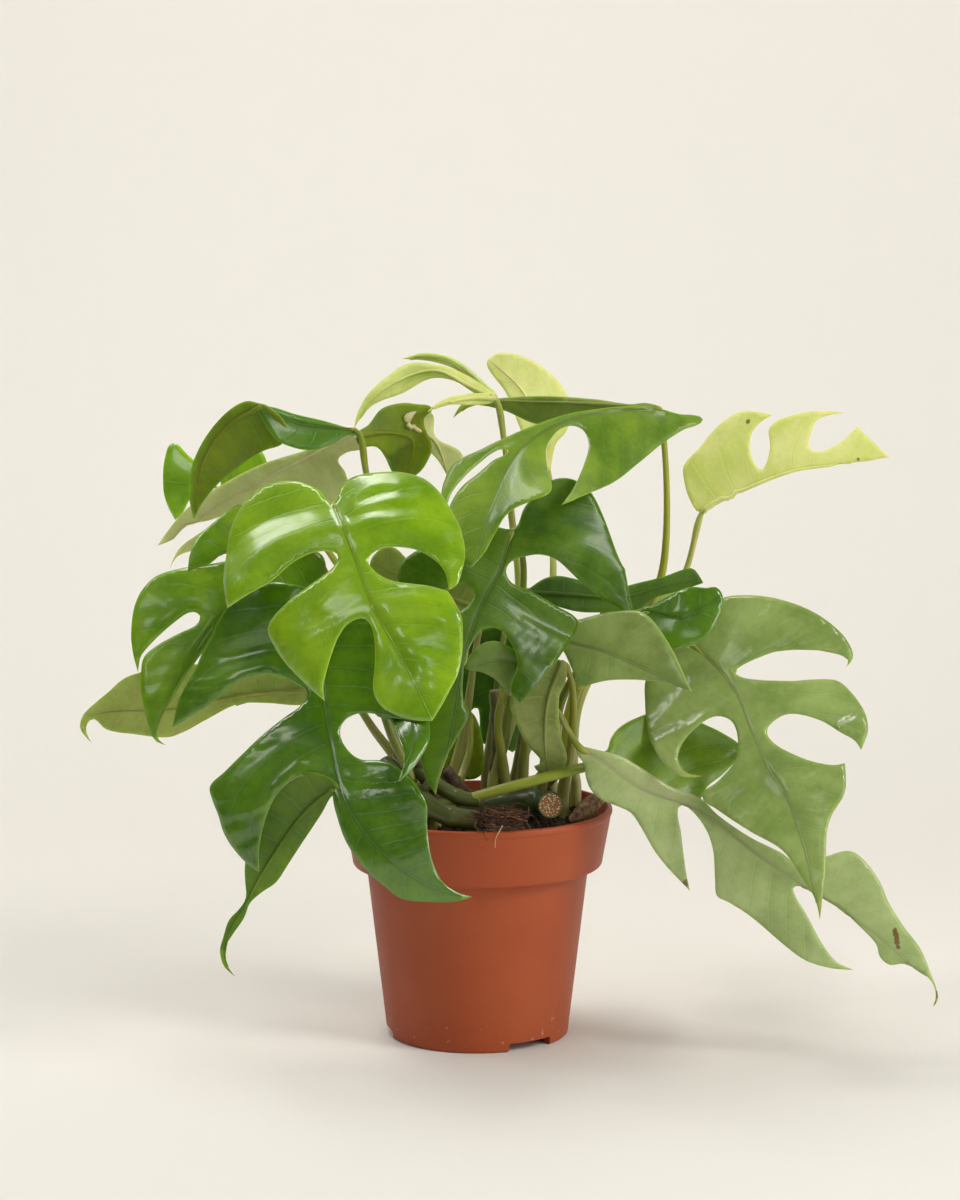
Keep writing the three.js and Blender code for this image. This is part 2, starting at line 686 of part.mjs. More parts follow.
// A round rod along a curve, with its sides and steps given.
function rod(curve, radius, sides, steps) {
  const section = new THREE.Shape();
  section.absarc(0, 0, radius, 0, 2 * Math.PI);
  return solid(new THREE.ExtrudeGeometry(section, {
    extrudePath: curve,
    steps,
    curveSegments: Math.ceil(sides / 2),
    bevelEnabled: false,
  }));
}

// A stalk's centre line: its traced points, then upright into the soil at root.
function stalkCurve(path, root) {
  const places = trace(path).map(({ at }) => sight(...at));
  const [x, y] = root;
  for (const rise of [STALK_RISE, STALK_RISE / 2, -STALK_SINK]) {
    places.push(new THREE.Vector3(x, y, SOIL_TOP + rise));
  }
  return new THREE.CatmullRomCurve3(places, false, "centripetal");
}

function mesh(name, body, color, roughness) {
  const material = new THREE.MeshStandardMaterial({ color, roughness, metalness: 0 });
  const made = new THREE.Mesh(geometryOf(body), material);
  made.name = name;
  return made;
}

// A body of revolution from [radius, height] corners, anticlockwise on the right of the axis.
function turned(profile, sides) {
  const corners = profile.map(([r, z]) => new THREE.Vector2(r, z));
  const made = new THREE.LatheGeometry([...corners, corners[0].clone()], sides);
  return solid(made.rotateX(Math.PI / 2));
}

// The pot's outer radius at height z: the body, then the wider collar.
function potRadius(z) {
  if (z < COLLAR_FOOT) return THREE.MathUtils.lerp(FOOT_RADIUS, BODY_TOP_RADIUS, z / COLLAR_FOOT);
  return THREE.MathUtils.lerp(COLLAR_FOOT_RADIUS, RIM_RADIUS, (z - COLLAR_FOOT) / COLLAR_HEIGHT);
}

// The pot's shell, open at the top, on a foot ring and a middle pad, with drain notches in the ring.
function pot() {
  const ringInside = FOOT_RADIUS - FOOT_RING;
  const floor = FOOT_HEIGHT + WALL;
  const bandFoot = POT_HEIGHT - RIM_BAND - BEVEL;
  let body = turned([
    [0, 0],
    [PAD_RADIUS, 0],
    [PAD_RADIUS + BEVEL, FOOT_HEIGHT],
    [ringInside, FOOT_HEIGHT],
    [ringInside, 0],
    [FOOT_RADIUS - BEVEL, 0],
    [potRadius(BEVEL), BEVEL],
    [potRadius(COLLAR_FOOT - SHOULDER), COLLAR_FOOT - SHOULDER],
    [BODY_TOP_RADIUS + BEVEL, COLLAR_FOOT - BEVEL / 2],
    [COLLAR_FOOT_RADIUS - BEVEL, COLLAR_FOOT],
    [COLLAR_FOOT_RADIUS, COLLAR_FOOT + BEVEL],
    [potRadius(bandFoot), bandFoot],
    [RIM_RADIUS, POT_HEIGHT - RIM_BAND],
    [RIM_RADIUS, POT_HEIGHT - BEVEL],
    [RIM_RADIUS - BEVEL, POT_HEIGHT],
    [RIM_RADIUS - WALL - BEVEL, POT_HEIGHT],
    [COLLAR_FOOT_RADIUS - WALL, COLLAR_FOOT + SHOULDER + WALL],
    [BODY_TOP_RADIUS - WALL + BEVEL, COLLAR_FOOT + WALL],
    [BODY_TOP_RADIUS - WALL, COLLAR_FOOT - SHOULDER],
    [potRadius(floor + BEVEL) - WALL, floor + BEVEL],
    [potRadius(floor) - WALL - BEVEL, floor],
    [0, floor],
  ], POT_SIDES);
  for (let i = 0; i < NOTCH_COUNT; i++) {
    const notch = new THREE.BoxGeometry(3 * FOOT_RING, NOTCH_WIDTH, 2 * NOTCH_HEIGHT);
    notch.translate(FOOT_RADIUS - FOOT_RING / 2, 0, 0);
    notch.rotateZ(THREE.MathUtils.degToRad(FIRST_NOTCH_ANGLE + i * 360 / NOTCH_COUNT));
    body = body.subtract(solid(notch));
  }
  return body;
}

// The potting mix: it fills the pot, with its top domed and sunk a little at the wall.
function soil(holes) {
  const floor = FOOT_HEIGHT + WALL + GAP;
  const side = (z) => potRadius(z) - WALL - SOIL_GAP;
  const body = turned([
    [0, floor],
    [side(floor) - 2 * BEVEL, floor],
    [side(floor + 2 * BEVEL), floor + 2 * BEVEL],
    [side(COLLAR_FOOT - SHOULDER), COLLAR_FOOT - SHOULDER],
    [BODY_TOP_RADIUS - WALL - SOIL_GAP, COLLAR_FOOT + WALL + GAP],
    [COLLAR_FOOT_RADIUS - WALL - SOIL_GAP, COLLAR_FOOT + SHOULDER + WALL + BEVEL],
    [side(SOIL_EDGE) - BEVEL, SOIL_EDGE],
    [RIM_RADIUS * 0.84, (SOIL_TOP + SOIL_EDGE) / 2 + 1],
    [RIM_RADIUS * 0.66, SOIL_TOP],
    [RIM_RADIUS * 0.3, SOIL_TOP + SOIL_DOME * 0.8],
    [0, SOIL_TOP + SOIL_DOME],
  ], SOIL_SIDES);
  return holes.reduce((left, hole) => left.subtract(hole), body);
}

// The clump of roots and bark on the rim: a lumpy bun with loose fibres hanging over the edge.
function rootClump() {
  const bun = new THREE.IcosahedronGeometry(1, 3);
  const spots = bun.attributes.position;
  for (let i = 0; i < spots.count; i++) {
    const p = new THREE.Vector3().fromBufferAttribute(spots, i);
    const lump = Math.sin(7 * p.x + 2) * Math.sin(6 * p.y + 1) * Math.sin(8 * p.z);
    p.multiply(CLUMP_SIZE).multiplyScalar(1 + CLUMP_LUMPS * lump);
    spots.setXYZ(i, p.x, p.y, p.z);
  }
  const heart = sight(...CLUMP_AT);
  bun.translate(heart.x, heart.y, heart.z);
  return CLUMP_FIBRES.reduce((all, path) => {
    const curve = new THREE.CatmullRomCurve3(trace(path).map(({ at }) => sight(...at)));
    return all.add(rod(curve, FIBRE_RADIUS, FIBRE_SIDES, FIBRE_STEPS));
  }, solid(bun));
}

// A plain upright hole for a stalk or vine of the given radius.
function hole([x, y], radius) {
  const depth = STALK_SINK + GAP;
  const made = new THREE.CylinderGeometry(radius, radius, 2 * depth, HOLE_SIDES);
  made.rotateX(Math.PI / 2).translate(x, y, SOIL_TOP);
  return solid(made);
}

// A leaf: its blades joined to the stalk, which starts just under the first blade's base.
function leafBody({ blades, stalk, root }) {
  const base = ribOf(blades[0].rib)[KNUCKLE];
  const start = `${base.x},${base.y},${base.z + STALK_RADIUS - BLADE / 2}`;
  const stem = rod(stalkCurve(`${start} ${stalk}`, root), STALK_RADIUS, STALK_SIDES, STALK_STEPS);
  return blades.reduce((all, spec) => all.add(blade(spec)), stem);
}

// The old stem lying on the soil, with extra mm all round and at both ends.
function cutStem(extra) {
  const places = trace(CUT_STEM.path).map(({ at }) => sight(...at));
  const stretch = (end, next) => end.add(end.clone().sub(next).setLength(extra));
  stretch(places[0], places[1]);
  stretch(places.at(-1), places.at(-2));
  const curve = new THREE.CatmullRomCurve3(places);
  return rod(curve, CUT_STEM.radius + extra, CUT_STEM.sides, CUT_STEM.steps);
}

const plant = new THREE.Group();
const holes = [cutStem(GAP)];

for (const [name, leaf] of Object.entries(LEAVES)) {
  holes.push(hole(leaf.root, STALK_RADIUS + GAP));
  plant.add(mesh(`leaf_${name}`, leafBody(leaf), leaf.color, 0.4));
}

for (const [name, { color, radius, path, root }] of Object.entries(VINES)) {
  holes.push(hole(root, radius + GAP));
  plant.add(mesh(name, rod(stalkCurve(path, root), radius, VINE_SIDES, VINE_STEPS), color, 0.6));
}

plant.add(mesh("cut_stem", cutStem(0), CUT_STEM.color, 0.5));
plant.add(mesh("root_clump", rootClump(), 0x4a3018, 0.95));
plant.add(mesh("dry_sheath", blade(SHEATH), SHEATH.color, 0.8));
plant.add(mesh("pot", pot(), 0xa8532f, 0.45));
plant.add(mesh("soil", soil(holes), 0x241a12, 0.95));

export default plant;
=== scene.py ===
"""A potted rhaphidophora tetrasperma: a split-leaved climbing aroid in a plastic nursery pot.

Each leaf is laid out from its traced outline and midrib, and gets its fine form here: the sunk
midrib, the soft quilting between the side veins, the thin margin and the stalk. The pot, the
potting mix, the short vines, the cut old stem and the roots on the rim are modelled round them.
Lengths are written in millimetres in the plans and are metres in the scene.
"""

import logging
import math
import random
from collections.abc import Iterator, Sequence
from contextlib import contextmanager
from dataclasses import dataclass, field
from enum import Enum

import bmesh
import bpy
import numpy as np
from mathutils import Euler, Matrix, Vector, noise
from mathutils.geometry import delaunay_2d_cdt

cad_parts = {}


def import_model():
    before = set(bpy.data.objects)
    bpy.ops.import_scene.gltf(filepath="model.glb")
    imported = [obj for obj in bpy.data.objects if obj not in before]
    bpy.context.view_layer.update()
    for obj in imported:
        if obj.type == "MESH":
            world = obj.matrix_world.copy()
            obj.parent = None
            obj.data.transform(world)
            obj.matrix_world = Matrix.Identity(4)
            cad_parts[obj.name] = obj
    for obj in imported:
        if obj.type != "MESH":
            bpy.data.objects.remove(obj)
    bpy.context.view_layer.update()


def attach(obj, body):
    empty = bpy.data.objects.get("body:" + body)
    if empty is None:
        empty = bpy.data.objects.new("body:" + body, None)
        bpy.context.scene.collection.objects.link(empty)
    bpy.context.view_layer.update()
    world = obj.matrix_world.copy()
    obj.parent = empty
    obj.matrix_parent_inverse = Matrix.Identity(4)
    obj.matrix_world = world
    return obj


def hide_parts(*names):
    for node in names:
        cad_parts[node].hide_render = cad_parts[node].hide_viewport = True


log = logging.getLogger("potted_plant")

Rgb = tuple[int, int, int]
Pair = tuple[float, float]
Place = tuple[float, float, float]

MM = 0.001
TINY = 1e-12

# The view that the leaf tracings belong to: a picture 960 by 1200 pixels.
EYE = np.array([1.1, -1600.0, 420.0])
PITCH = math.radians(8)
FOCAL = 3660.0
PICTURE = (960, 1200)
PIXEL = 0.444  # mm across at the pot

SOIL_TOP = 101.0
STALK_RISE = 9.0
STALK_SINK = 12.0

BROWN_MARK: Rgb = (112, 70, 30)
STALK_FOOT: Rgb = (164, 158, 96)
STALK_STREAK: Rgb = (34, 8, 8)  # what a stalk's streaks add to its colour


# ------------ small helpers


def srgb(*channels: float) -> tuple[float, ...]:
    """Turns a colour as seen on a screen into the shader's own.

    Args:
        *channels: Red, green and blue, 0 to 255.

    Returns:
        The linear colour, with full alpha.
    """
    values = [channel / 255 for channel in channels]
    return (*(v / 12.92 if v <= 0.04045 else ((v + 0.055) / 1.055) ** 2.4 for v in values), 1.0)


def sight(pixels: np.ndarray, depth: np.ndarray) -> np.ndarray:
    """The points seen at some pixels of the picture.

    Args:
        pixels: Rows of pixel places, x to the right and y down.
        depth: How far each point lies behind the pot's axis, in mm.

    Returns:
        Rows of x, y, z in mm.
    """
    rise = (PICTURE[1] / 2 - pixels[:, 1]) / FOCAL
    ray = np.empty((len(pixels), 3))
    ray[:, 0] = (pixels[:, 0] - PICTURE[0] / 2) / FOCAL
    ray[:, 1] = math.cos(PITCH) + math.sin(PITCH) * rise
    ray[:, 2] = -math.sin(PITCH) + math.cos(PITCH) * rise
    return EYE + ray * ((depth - EYE[1]) / ray[:, 1])[:, None]


def numbers(text: str) -> np.ndarray:
    """Rows of numbers from text such as "1,2 3,4!"."""
    return np.array([[float(n) for n in word.strip("!").split(",")] for word in text.split()])


def traced(text: str) -> np.ndarray:
    """Points in mm from text that gives pixel x, pixel y and depth for each."""
    rows = numbers(text)
    return sight(rows[:, :2], rows[:, 2])


def through(points: np.ndarray, where: np.ndarray) -> np.ndarray:
    """Points on a smooth curve through given ones, evenly tense (centripetal).

    Args:
        points: Rows of the points that the curve passes.
        where: Places along it from 0, its start, to 1, its end.

    Returns:
        A row for each place.
    """
    padded = np.vstack([2 * points[0] - points[1], points, 2 * points[-1] - points[-2]])
    spans = len(points) - 1
    at = np.clip(where * spans, 0, spans)
    index = np.minimum(at.astype(int), spans - 1)
    t = (at - index)[:, None]
    p0, p1, p2, p3 = (padded[index + k] for k in range(4))

    def knot(a: np.ndarray, b: np.ndarray) -> np.ndarray:
        """The root of the distance between two rows of points."""
        return np.maximum(np.linalg.norm(b - a, axis=1, keepdims=True) ** 0.5, 1e-4)

    k0, k1, k2 = knot(p0, p1), knot(p1, p2), knot(p2, p3)
    m1 = ((p1 - p0) / k0 - (p2 - p0) / (k0 + k1) + (p2 - p1) / k1) * k1
    m2 = ((p2 - p1) / k1 - (p3 - p1) / (k1 + k2) + (p3 - p2) / k2) * k1
    return (p1 + m1 * t + (3 * (p2 - p1) - 2 * m1 - m2) * t ** 2
            + (2 * (p1 - p2) + m1 + m2) * t ** 3)


def lengths(points: np.ndarray) -> np.ndarray:
    """How far along its line each of some points lies."""
    return np.concatenate([[0], np.cumsum(np.linalg.norm(np.diff(points, axis=0), axis=1))])


def even(points: np.ndarray, count: int) -> np.ndarray:
    """A smooth curve through some points, evenly spaced.

    Args:
        points: Rows of the points that it passes.
        count: How many points it gets.

    Returns:
        Its points, an even distance apart.
    """
    fine = through(points, np.linspace(0, 1, 40 * len(points)))
    run = lengths(fine)
    steps = np.linspace(0, run[-1], count)
    return np.stack([np.interp(steps, run, column) for column in fine.T], axis=1)


def ease(value: np.ndarray, low: float, high: float) -> np.ndarray:
    """0 below low, 1 above high, and a soft step between."""
    t = np.clip((value - low) / (high - low), 0, 1)
    return t * t * (3 - 2 * t)


def hump(value: np.ndarray, at: float, width: float) -> np.ndarray:
    """A soft hump, 1 at a place and next to 0 beyond its width."""
    return np.exp(-((value - at) / width) ** 2)


def ripple(points: np.ndarray, size: float, seed: float) -> np.ndarray:
    """A smooth random value from -1 to 1 at each point, size mm across."""
    shift = Vector((seed * 7.31, seed * 3.17, seed * 1.73))
    return np.array([noise.noise(Vector(p) / size + shift) for p in points])


def nearest(points: np.ndarray, others: np.ndarray) -> tuple[np.ndarray, np.ndarray]:
    """Which of some other points lies nearest to each point.

    Args:
        points: Rows of points.
        others: Rows of the points to look among.

    Returns:
        The distance to the nearest one, and its row.
    """
    gaps = np.linalg.norm(points[:, None, :] - others[None, :, :], axis=2)
    return gaps.min(1), gaps.argmin(1)


def normals_of(points: np.ndarray, faces: np.ndarray) -> np.ndarray:
    """Unit normals at the points of an open sheet of triangles.

    Args:
        points: Rows of x, y, z.
        faces: Rows of three corner numbers.

    Returns:
        A normal for each point.
    """
    a, b, c = (points[faces[:, k]] for k in range(3))
    total = np.zeros_like(points)
    for k in range(3):
        np.add.at(total, faces[:, k], np.cross(b - a, c - a))
    return total / np.maximum(np.linalg.norm(total, axis=1, keepdims=True), TINY)


def deselect() -> None:
    """Leaves nothing selected, so that an operator acts only on what comes next."""
    if bpy.context.object and bpy.context.object.mode != "OBJECT":
        bpy.ops.object.mode_set(mode="OBJECT")
    bpy.ops.object.select_all(action="DESELECT")


def take(piece: bpy.types.Object) -> None:
    """Selects one piece alone and makes it active.

    Args:
        piece: The object to take.
    """
    deselect()
    piece.select_set(True)
    bpy.context.view_layer.objects.active = piece


@contextmanager
def editing(piece: bpy.types.Object) -> Iterator[None]:
    """Edit mode on one piece, with all of it selected.

    Args:
        piece: The mesh object to edit.
    """
    take(piece)
    bpy.ops.object.mode_set(mode="EDIT")
    bpy.ops.mesh.select_all(action="SELECT")
    yield
    bpy.ops.object.mode_set(mode="OBJECT")


def settle(piece: bpy.types.Object, name: str) -> bpy.types.Object:
    """Names a piece and applies its place, turn and scale to its mesh.

    Args:
        piece: The object to settle.
        name: Its new name.

    Returns:
        The same object.
    """
    take(piece)
    bpy.ops.object.transform_apply(location=True, rotation=True, scale=True)
    piece.name = piece.data.name = name
    return piece


def refine(piece: bpy.types.Object, kind: str, **settings: object) -> None:
    """Adds a modifier to a piece and applies it.

    Args:
        piece: The object that gets it.
        kind: The modifier's type.
        **settings: Its settings by name.
    """
    take(piece)
    bpy.ops.object.modifier_add(type=kind)
    modifier = piece.modifiers[-1]
    for key, value in settings.items():
        setattr(modifier, key, value)
    bpy.ops.object.modifier_apply(modifier=modifier.name)


def shade_smooth(piece: bpy.types.Object, angle: float | None = None) -> None:
    """Shades a piece smooth.

    Args:
        piece: The object to shade.
        angle: Edges sharper than this many degrees stay crisp.
    """
    take(piece)
    if angle is None:
        bpy.ops.object.shade_smooth()
    else:
        bpy.ops.object.shade_smooth_by_angle(angle=math.radians(angle))


def turned(name: str, profile: Sequence[Pair], sides: int) -> bpy.types.Object:
    """A round shell made by drawing a ring out along a profile, with both ends closed.

    Args:
        name: The new object's name.
        profile: Radius and height of each ring in mm, from one pole to the other.
        sides: Points round each ring.

    Returns:
        The closed object, with its faces outwards.
    """
    deselect()
    (radius, height), *rest = profile
    bpy.ops.mesh.primitive_circle_add(
        vertices=sides, radius=radius * MM, location=(0, 0, height * MM))
    piece = settle(bpy.context.object, name)
    with editing(piece):
        for next_radius, next_height in rest:
            bpy.ops.mesh.extrude_region_move(
                TRANSFORM_OT_translate={"value": (0, 0, (next_height - height) * MM)})
            grow = next_radius / radius
            bpy.ops.transform.resize(value=(grow, grow, 1), center_override=(0, 0, 0))
            radius, height = next_radius, next_height
        bpy.ops.mesh.select_all(action="SELECT")
        bpy.ops.mesh.fill_holes(sides=0)
        bpy.ops.mesh.select_all(action="SELECT")
        bpy.ops.mesh.normals_make_consistent(inside=False)
    return piece


def pebble(subdivisions: int) -> tuple[np.ndarray, list[tuple[int, ...]]]:
    """The points and faces of a round grain of radius 1.

    Args:
        subdivisions: How finely it is divided.

    Returns:
        Rows of x, y, z, and the corner numbers of each face.
    """
    deselect()
    bpy.ops.mesh.primitive_ico_sphere_add(subdivisions=subdivisions, radius=1)
    grain = bpy.context.object
    shape = np.array([v.co for v in grain.data.vertices])
    faces = [tuple(f.vertices) for f in grain.data.polygons]
    bpy.data.objects.remove(grain)
    return shape, faces


def placed(name: str, data: bpy.types.ID) -> bpy.types.Object:
    """A new object for some data, in the scene.

    Args:
        name: Its name.
        data: Its mesh, lamp or camera.

    Returns:
        The object.
    """
    made = bpy.data.objects.new(name, data)
    bpy.context.scene.collection.objects.link(made)
    return made


# ------------ meshes built by hand


@dataclass
class Sculpt:
    """Points, faces and the values they carry, gathered for one mesh.

    leaf holds mm along the midrib or stalk, mm across it and mm to the margin. vein counts the
    side veins, and side is 1 on the upper side of a blade and 0 on its underside.
    """

    points: list[np.ndarray] = field(default_factory=list)
    leaf: list[np.ndarray] = field(default_factory=list)
    vein: list[np.ndarray] = field(default_factory=list)
    side: list[np.ndarray] = field(default_factory=list)
    faces: list[tuple[int, ...]] = field(default_factory=list)
    slots: list[int] = field(default_factory=list)
    count: int = 0

    def add(self, points: np.ndarray, faces: Sequence[Sequence[int]], slot: int,
            leaf: np.ndarray, vein: np.ndarray | float = 0.0,
            side: np.ndarray | float = 1.0) -> None:
        """Adds one body.

        Args:
            points: Rows of x, y, z in mm.
            faces: Corner numbers of each face, counted within this body.
            slot: The material slot of its faces.
            leaf: The three leaf values of each point.
            vein: The vein count of each point, or one value for all.
            side: The side of each point, or one value for all.
        """
        total = len(points)
        self.points.append(points)
        self.leaf.append(leaf)
        self.vein.append(np.broadcast_to(vein, (total,)))
        self.side.append(np.broadcast_to(side, (total,)))
        self.faces.extend(tuple(int(i) + self.count for i in face) for face in faces)
        self.slots.extend([slot] * len(faces))
        self.count += total

    def rod(self, path: np.ndarray, radii: np.ndarray, sides: int, slot: int,
            side: float = 1.0, leaf: Place | None = None) -> None:
        """Adds a round stalk along a path.

        Args:
            path: Rows of points in mm.
            radii: The radius at each point in mm.
            sides: Points round it.
            slot: The material slot of its faces.
            side: The side that all its points count as.
            leaf: Leaf values for all its points, in place of its own.
        """
        steps = np.gradient(path, axis=0)
        steps /= np.linalg.norm(steps, axis=1, keepdims=True)
        across = np.cross(steps[0], [0.3, 0.9, 0.2])
        run = lengths(path)
        angles = np.linspace(0, 2 * math.pi, sides, endpoint=False)
        rings, values = [], []
        for at, step, radius, length in zip(path, steps, radii, run):
            across = across - step * across.dot(step)
            across /= np.linalg.norm(across)
            other = np.cross(step, across)
            rings.append(at + radius * (np.outer(np.cos(angles), across)
                                        + np.outer(np.sin(angles), other)))
            values.append(np.stack([np.full(sides, length), angles,
                                    np.full(sides, run[-1] - length)], axis=1))
        last = (len(path) - 1) * sides
        faces: list[Sequence[int]] = []
        for a in range(0, last, sides):
            for k in range(sides):
                n = (k + 1) % sides
                faces.append((a + k, a + n, a + sides + n, a + sides + k))
        faces += [tuple(reversed(range(sides))), tuple(last + k for k in range(sides))]
        points = np.vstack(rings)
        own = np.vstack(values) if leaf is None else np.tile(leaf, (len(points), 1))
        self.add(points, faces, slot, own, side=side)

    def make(self, name: str) -> bpy.types.Object:
        """Makes the mesh object.

        Args:
            name: The object's name.

        Returns:
            The object, in the scene, smooth, with its values as attributes.
        """
        mesh = bpy.data.meshes.new(name)
        mesh.from_pydata((np.vstack(self.points) * MM).tolist(), [], self.faces)
        mesh.polygons.foreach_set("material_index", self.slots)
        mesh.polygons.foreach_set("use_smooth", [True] * len(self.faces))
        spread = mesh.attributes.new("leaf", "FLOAT_VECTOR", "POINT")
        spread.data.foreach_set("vector", np.vstack(self.leaf).astype(np.float32).ravel())
        for key, rows in (("vein", self.vein), ("side", self.side)):
            value = mesh.attributes.new(key, "FLOAT", "POINT")
            value.data.foreach_set("value", np.concatenate(rows).astype(np.float32))
        mesh.update()
        return placed(name, mesh)


@dataclass
class Piece:
    """A piece of the plant, once it is built."""

    piece: bpy.types.Object | None = field(default=None, init=False, kw_only=True)

    def wear(self, *materials: bpy.types.Material) -> None:
        """Gives the piece its materials, one for each material slot.

        Args:
            *materials: The materials in order.
        """
        for material in materials:
            self.piece.data.materials.append(material)

    def fit(self, slot: str, *nodes: str) -> None:
        """Ties the piece to the plant's one body, in the place of its plain solid.

        Args:
            slot: The slot that its finish belongs to. Not used.
            *nodes: The node of the solid, where there is one.
        """
        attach(self.piece, "root")
        if nodes:
            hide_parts(*nodes)


# ------------ finishes


class Signal:
    """A value on its way through a node tree, which can be added, taken away and multiplied."""

    def __init__(self, wiring: "Wiring", socket: bpy.types.NodeSocket) -> None:
        """Holds a socket and the wiring that it belongs to."""
        self.wiring = wiring
        self.socket = socket

    def __add__(self, other: object) -> "Signal":
        """The sum of both."""
        return self.wiring.math("ADD", self, other)

    def __radd__(self, other: object) -> "Signal":
        """The sum of both, the other first."""
        return self.wiring.math("ADD", other, self)

    def __sub__(self, other: object) -> "Signal":
        """This less the other."""
        return self.wiring.math("SUBTRACT", self, other)

    def __rsub__(self, other: object) -> "Signal":
        """The other less this."""
        return self.wiring.math("SUBTRACT", other, self)

    def __mul__(self, other: object) -> "Signal":
        """The product of both."""
        return self.wiring.math("MULTIPLY", self, other)

    def __abs__(self) -> "Signal":
        """Its size, without its sign."""
        return self.wiring.math("ABSOLUTE", self)


class Wiring:
    """Adds nodes to one node tree and joins them."""

    def __init__(self, tree: bpy.types.NodeTree) -> None:
        """Starts on the tree that gets the nodes."""
        self.tree = tree

    def join(self, source: object, target: bpy.types.NodeSocket) -> None:
        """Links a target to a socket, or sets it to a value.

        Args:
            source: The socket or the value.
            target: The socket that gets it.
        """
        source = source.socket if isinstance(source, Signal) else source
        if isinstance(source, bpy.types.NodeSocket):
            self.tree.links.new(source, target)
        else:
            target.default_value = source

    def feed(self, node: bpy.types.Node, values: dict[str | int, object]) -> None:
        """Joins values to a node's inputs.

        Args:
            node: The node that gets them.
            values: A socket or a value for each input, by the input's name or number.
        """
        for label, value in values.items():
            self.join(value, node.inputs[label])

    def node(self, kind: str, values: dict[str | int, object] | None = None,
             **settings: object) -> bpy.types.Node:
        """Adds a node.

        Args:
            kind: The node's type.
            values: What its inputs get.
            **settings: Its settings by name.

        Returns:
            The node.
        """
        made = self.tree.nodes.new(kind)
        for key, value in settings.items():
            setattr(made, key, value)
        self.feed(made, values or {})
        return made

    def read(self, kind: str, output: str | int, values: dict[str | int, object] | None = None,
             **settings: object) -> Signal:
        """Adds a node and reads one of its outputs.

        Args:
            kind: The node's type.
            output: The output's name or number.
            values: What its inputs get.
            **settings: Its settings by name.

        Returns:
            What the output gives.
        """
        return Signal(self, self.node(kind, values, **settings).outputs[output])

    def math(self, operation: str, *values: object, clamp: bool = False) -> Signal:
        """The result of a sum.

        Args:
            operation: Which kind of sum.
            *values: What goes in.
            clamp: Whether the result stays from 0 to 1.

        Returns:
            The result.
        """
        return self.read("ShaderNodeMath", 0, dict(enumerate(values)), operation=operation,
                         use_clamp=clamp)

    def blend(self, factor: object, under: object, over: object) -> Signal:
        """A colour between two, by a factor from 0 to 1.

        Args:
            factor: How much of the second colour shows.
            under: The first colour.
            over: The second colour.

        Returns:
            The mixed colour.
        """
        return self.read("ShaderNodeMix", 2, {0: factor, 6: under, 7: over}, data_type="RGBA",
                         clamp_factor=True)

    def step(self, value: object, low: object, high: object, to: Pair = (0, 1)) -> Signal:
        """A soft step of a value.

        Args:
            value: The value.
            low: Where the step begins.
            high: Where it ends.
            to: What it gives below and above.

        Returns:
            The stepped value.
        """
        return self.read("ShaderNodeMapRange", 0, dict(enumerate((value, low, high, *to))),
                         interpolation_type="SMOOTHSTEP", clamp=True)

    def fade(self, value: object, low: object, high: object) -> Signal:
        """A soft step down of a value, from 1 below low to 0 above high."""
        return self.step(value, low, high, (1, 0))

    def place(self) -> Signal:
        """Where a point lies in the piece's own space, in metres."""
        return self.read("ShaderNodeTexCoord", "Object")

    def attribute(self, name: str, output: str = "Fac") -> Signal:
        """What a point carries under a name."""
        return self.read("ShaderNodeAttribute", output, attribute_name=name)

    def grain(self, size: float, detail: float = 3, stretch: Place = (1, 1, 1)) -> Signal:
        """Soft noise in the piece's own space.

        Args:
            size: The size of its blotches in mm.
            detail: Its octaves.
            stretch: A scale for each axis.

        Returns:
            A value from 0 to 1.
        """
        mapped = self.read("ShaderNodeMapping", 0, {"Vector": self.place(), "Scale": stretch})
        return self.read("ShaderNodeTexNoise", 0,
                         {"Vector": mapped, "Scale": 1 / MM / size, "Detail": detail})

    def raised(self, height: object, strength: float = 1.0) -> Signal:
        """The normal of a surface that a height stands out of.

        Args:
            height: The height in mm.
            strength: How strongly it shows.

        Returns:
            The normal.
        """
        return self.read("ShaderNodeBump", 0,
                         {"Distance": MM, "Strength": strength, "Height": height})


class SkinGroup:
    """A node group under way, which takes colours and values and gives the looks of a skin."""

    def __init__(self, name: str, colors: Sequence[str], floats: Sequence[str],
                 gives: Sequence[str] = ("Roughness", "Height")) -> None:
        """Makes the group with its sockets.

        Args:
            name: The group's name.
            colors: Its colour inputs.
            floats: Its value inputs.
            gives: Its value outputs, after Color.
        """
        self.tree = bpy.data.node_groups.new(name, "ShaderNodeTree")
        for way, kind, labels in (("INPUT", "Color", colors), ("INPUT", "Float", floats),
                                  ("OUTPUT", "Color", ("Color",)), ("OUTPUT", "Float", gives)):
            for label in labels:
                self.tree.interface.new_socket(label, in_out=way, socket_type=f"NodeSocket{kind}")
        self.wiring = Wiring(self.tree)
        self.out = self.wiring.node("NodeGroupOutput")
        source = self.wiring.node("NodeGroupInput")
        self.put = {socket.name: Signal(self.wiring, socket) for socket in source.outputs}

    def give(self, **values: object) -> bpy.types.NodeTree:
        """Joins the outputs.

        Args:
            **values: What each output gives.

        Returns:
            The finished group.
        """
        self.wiring.feed(self.out, values)
        return self.tree


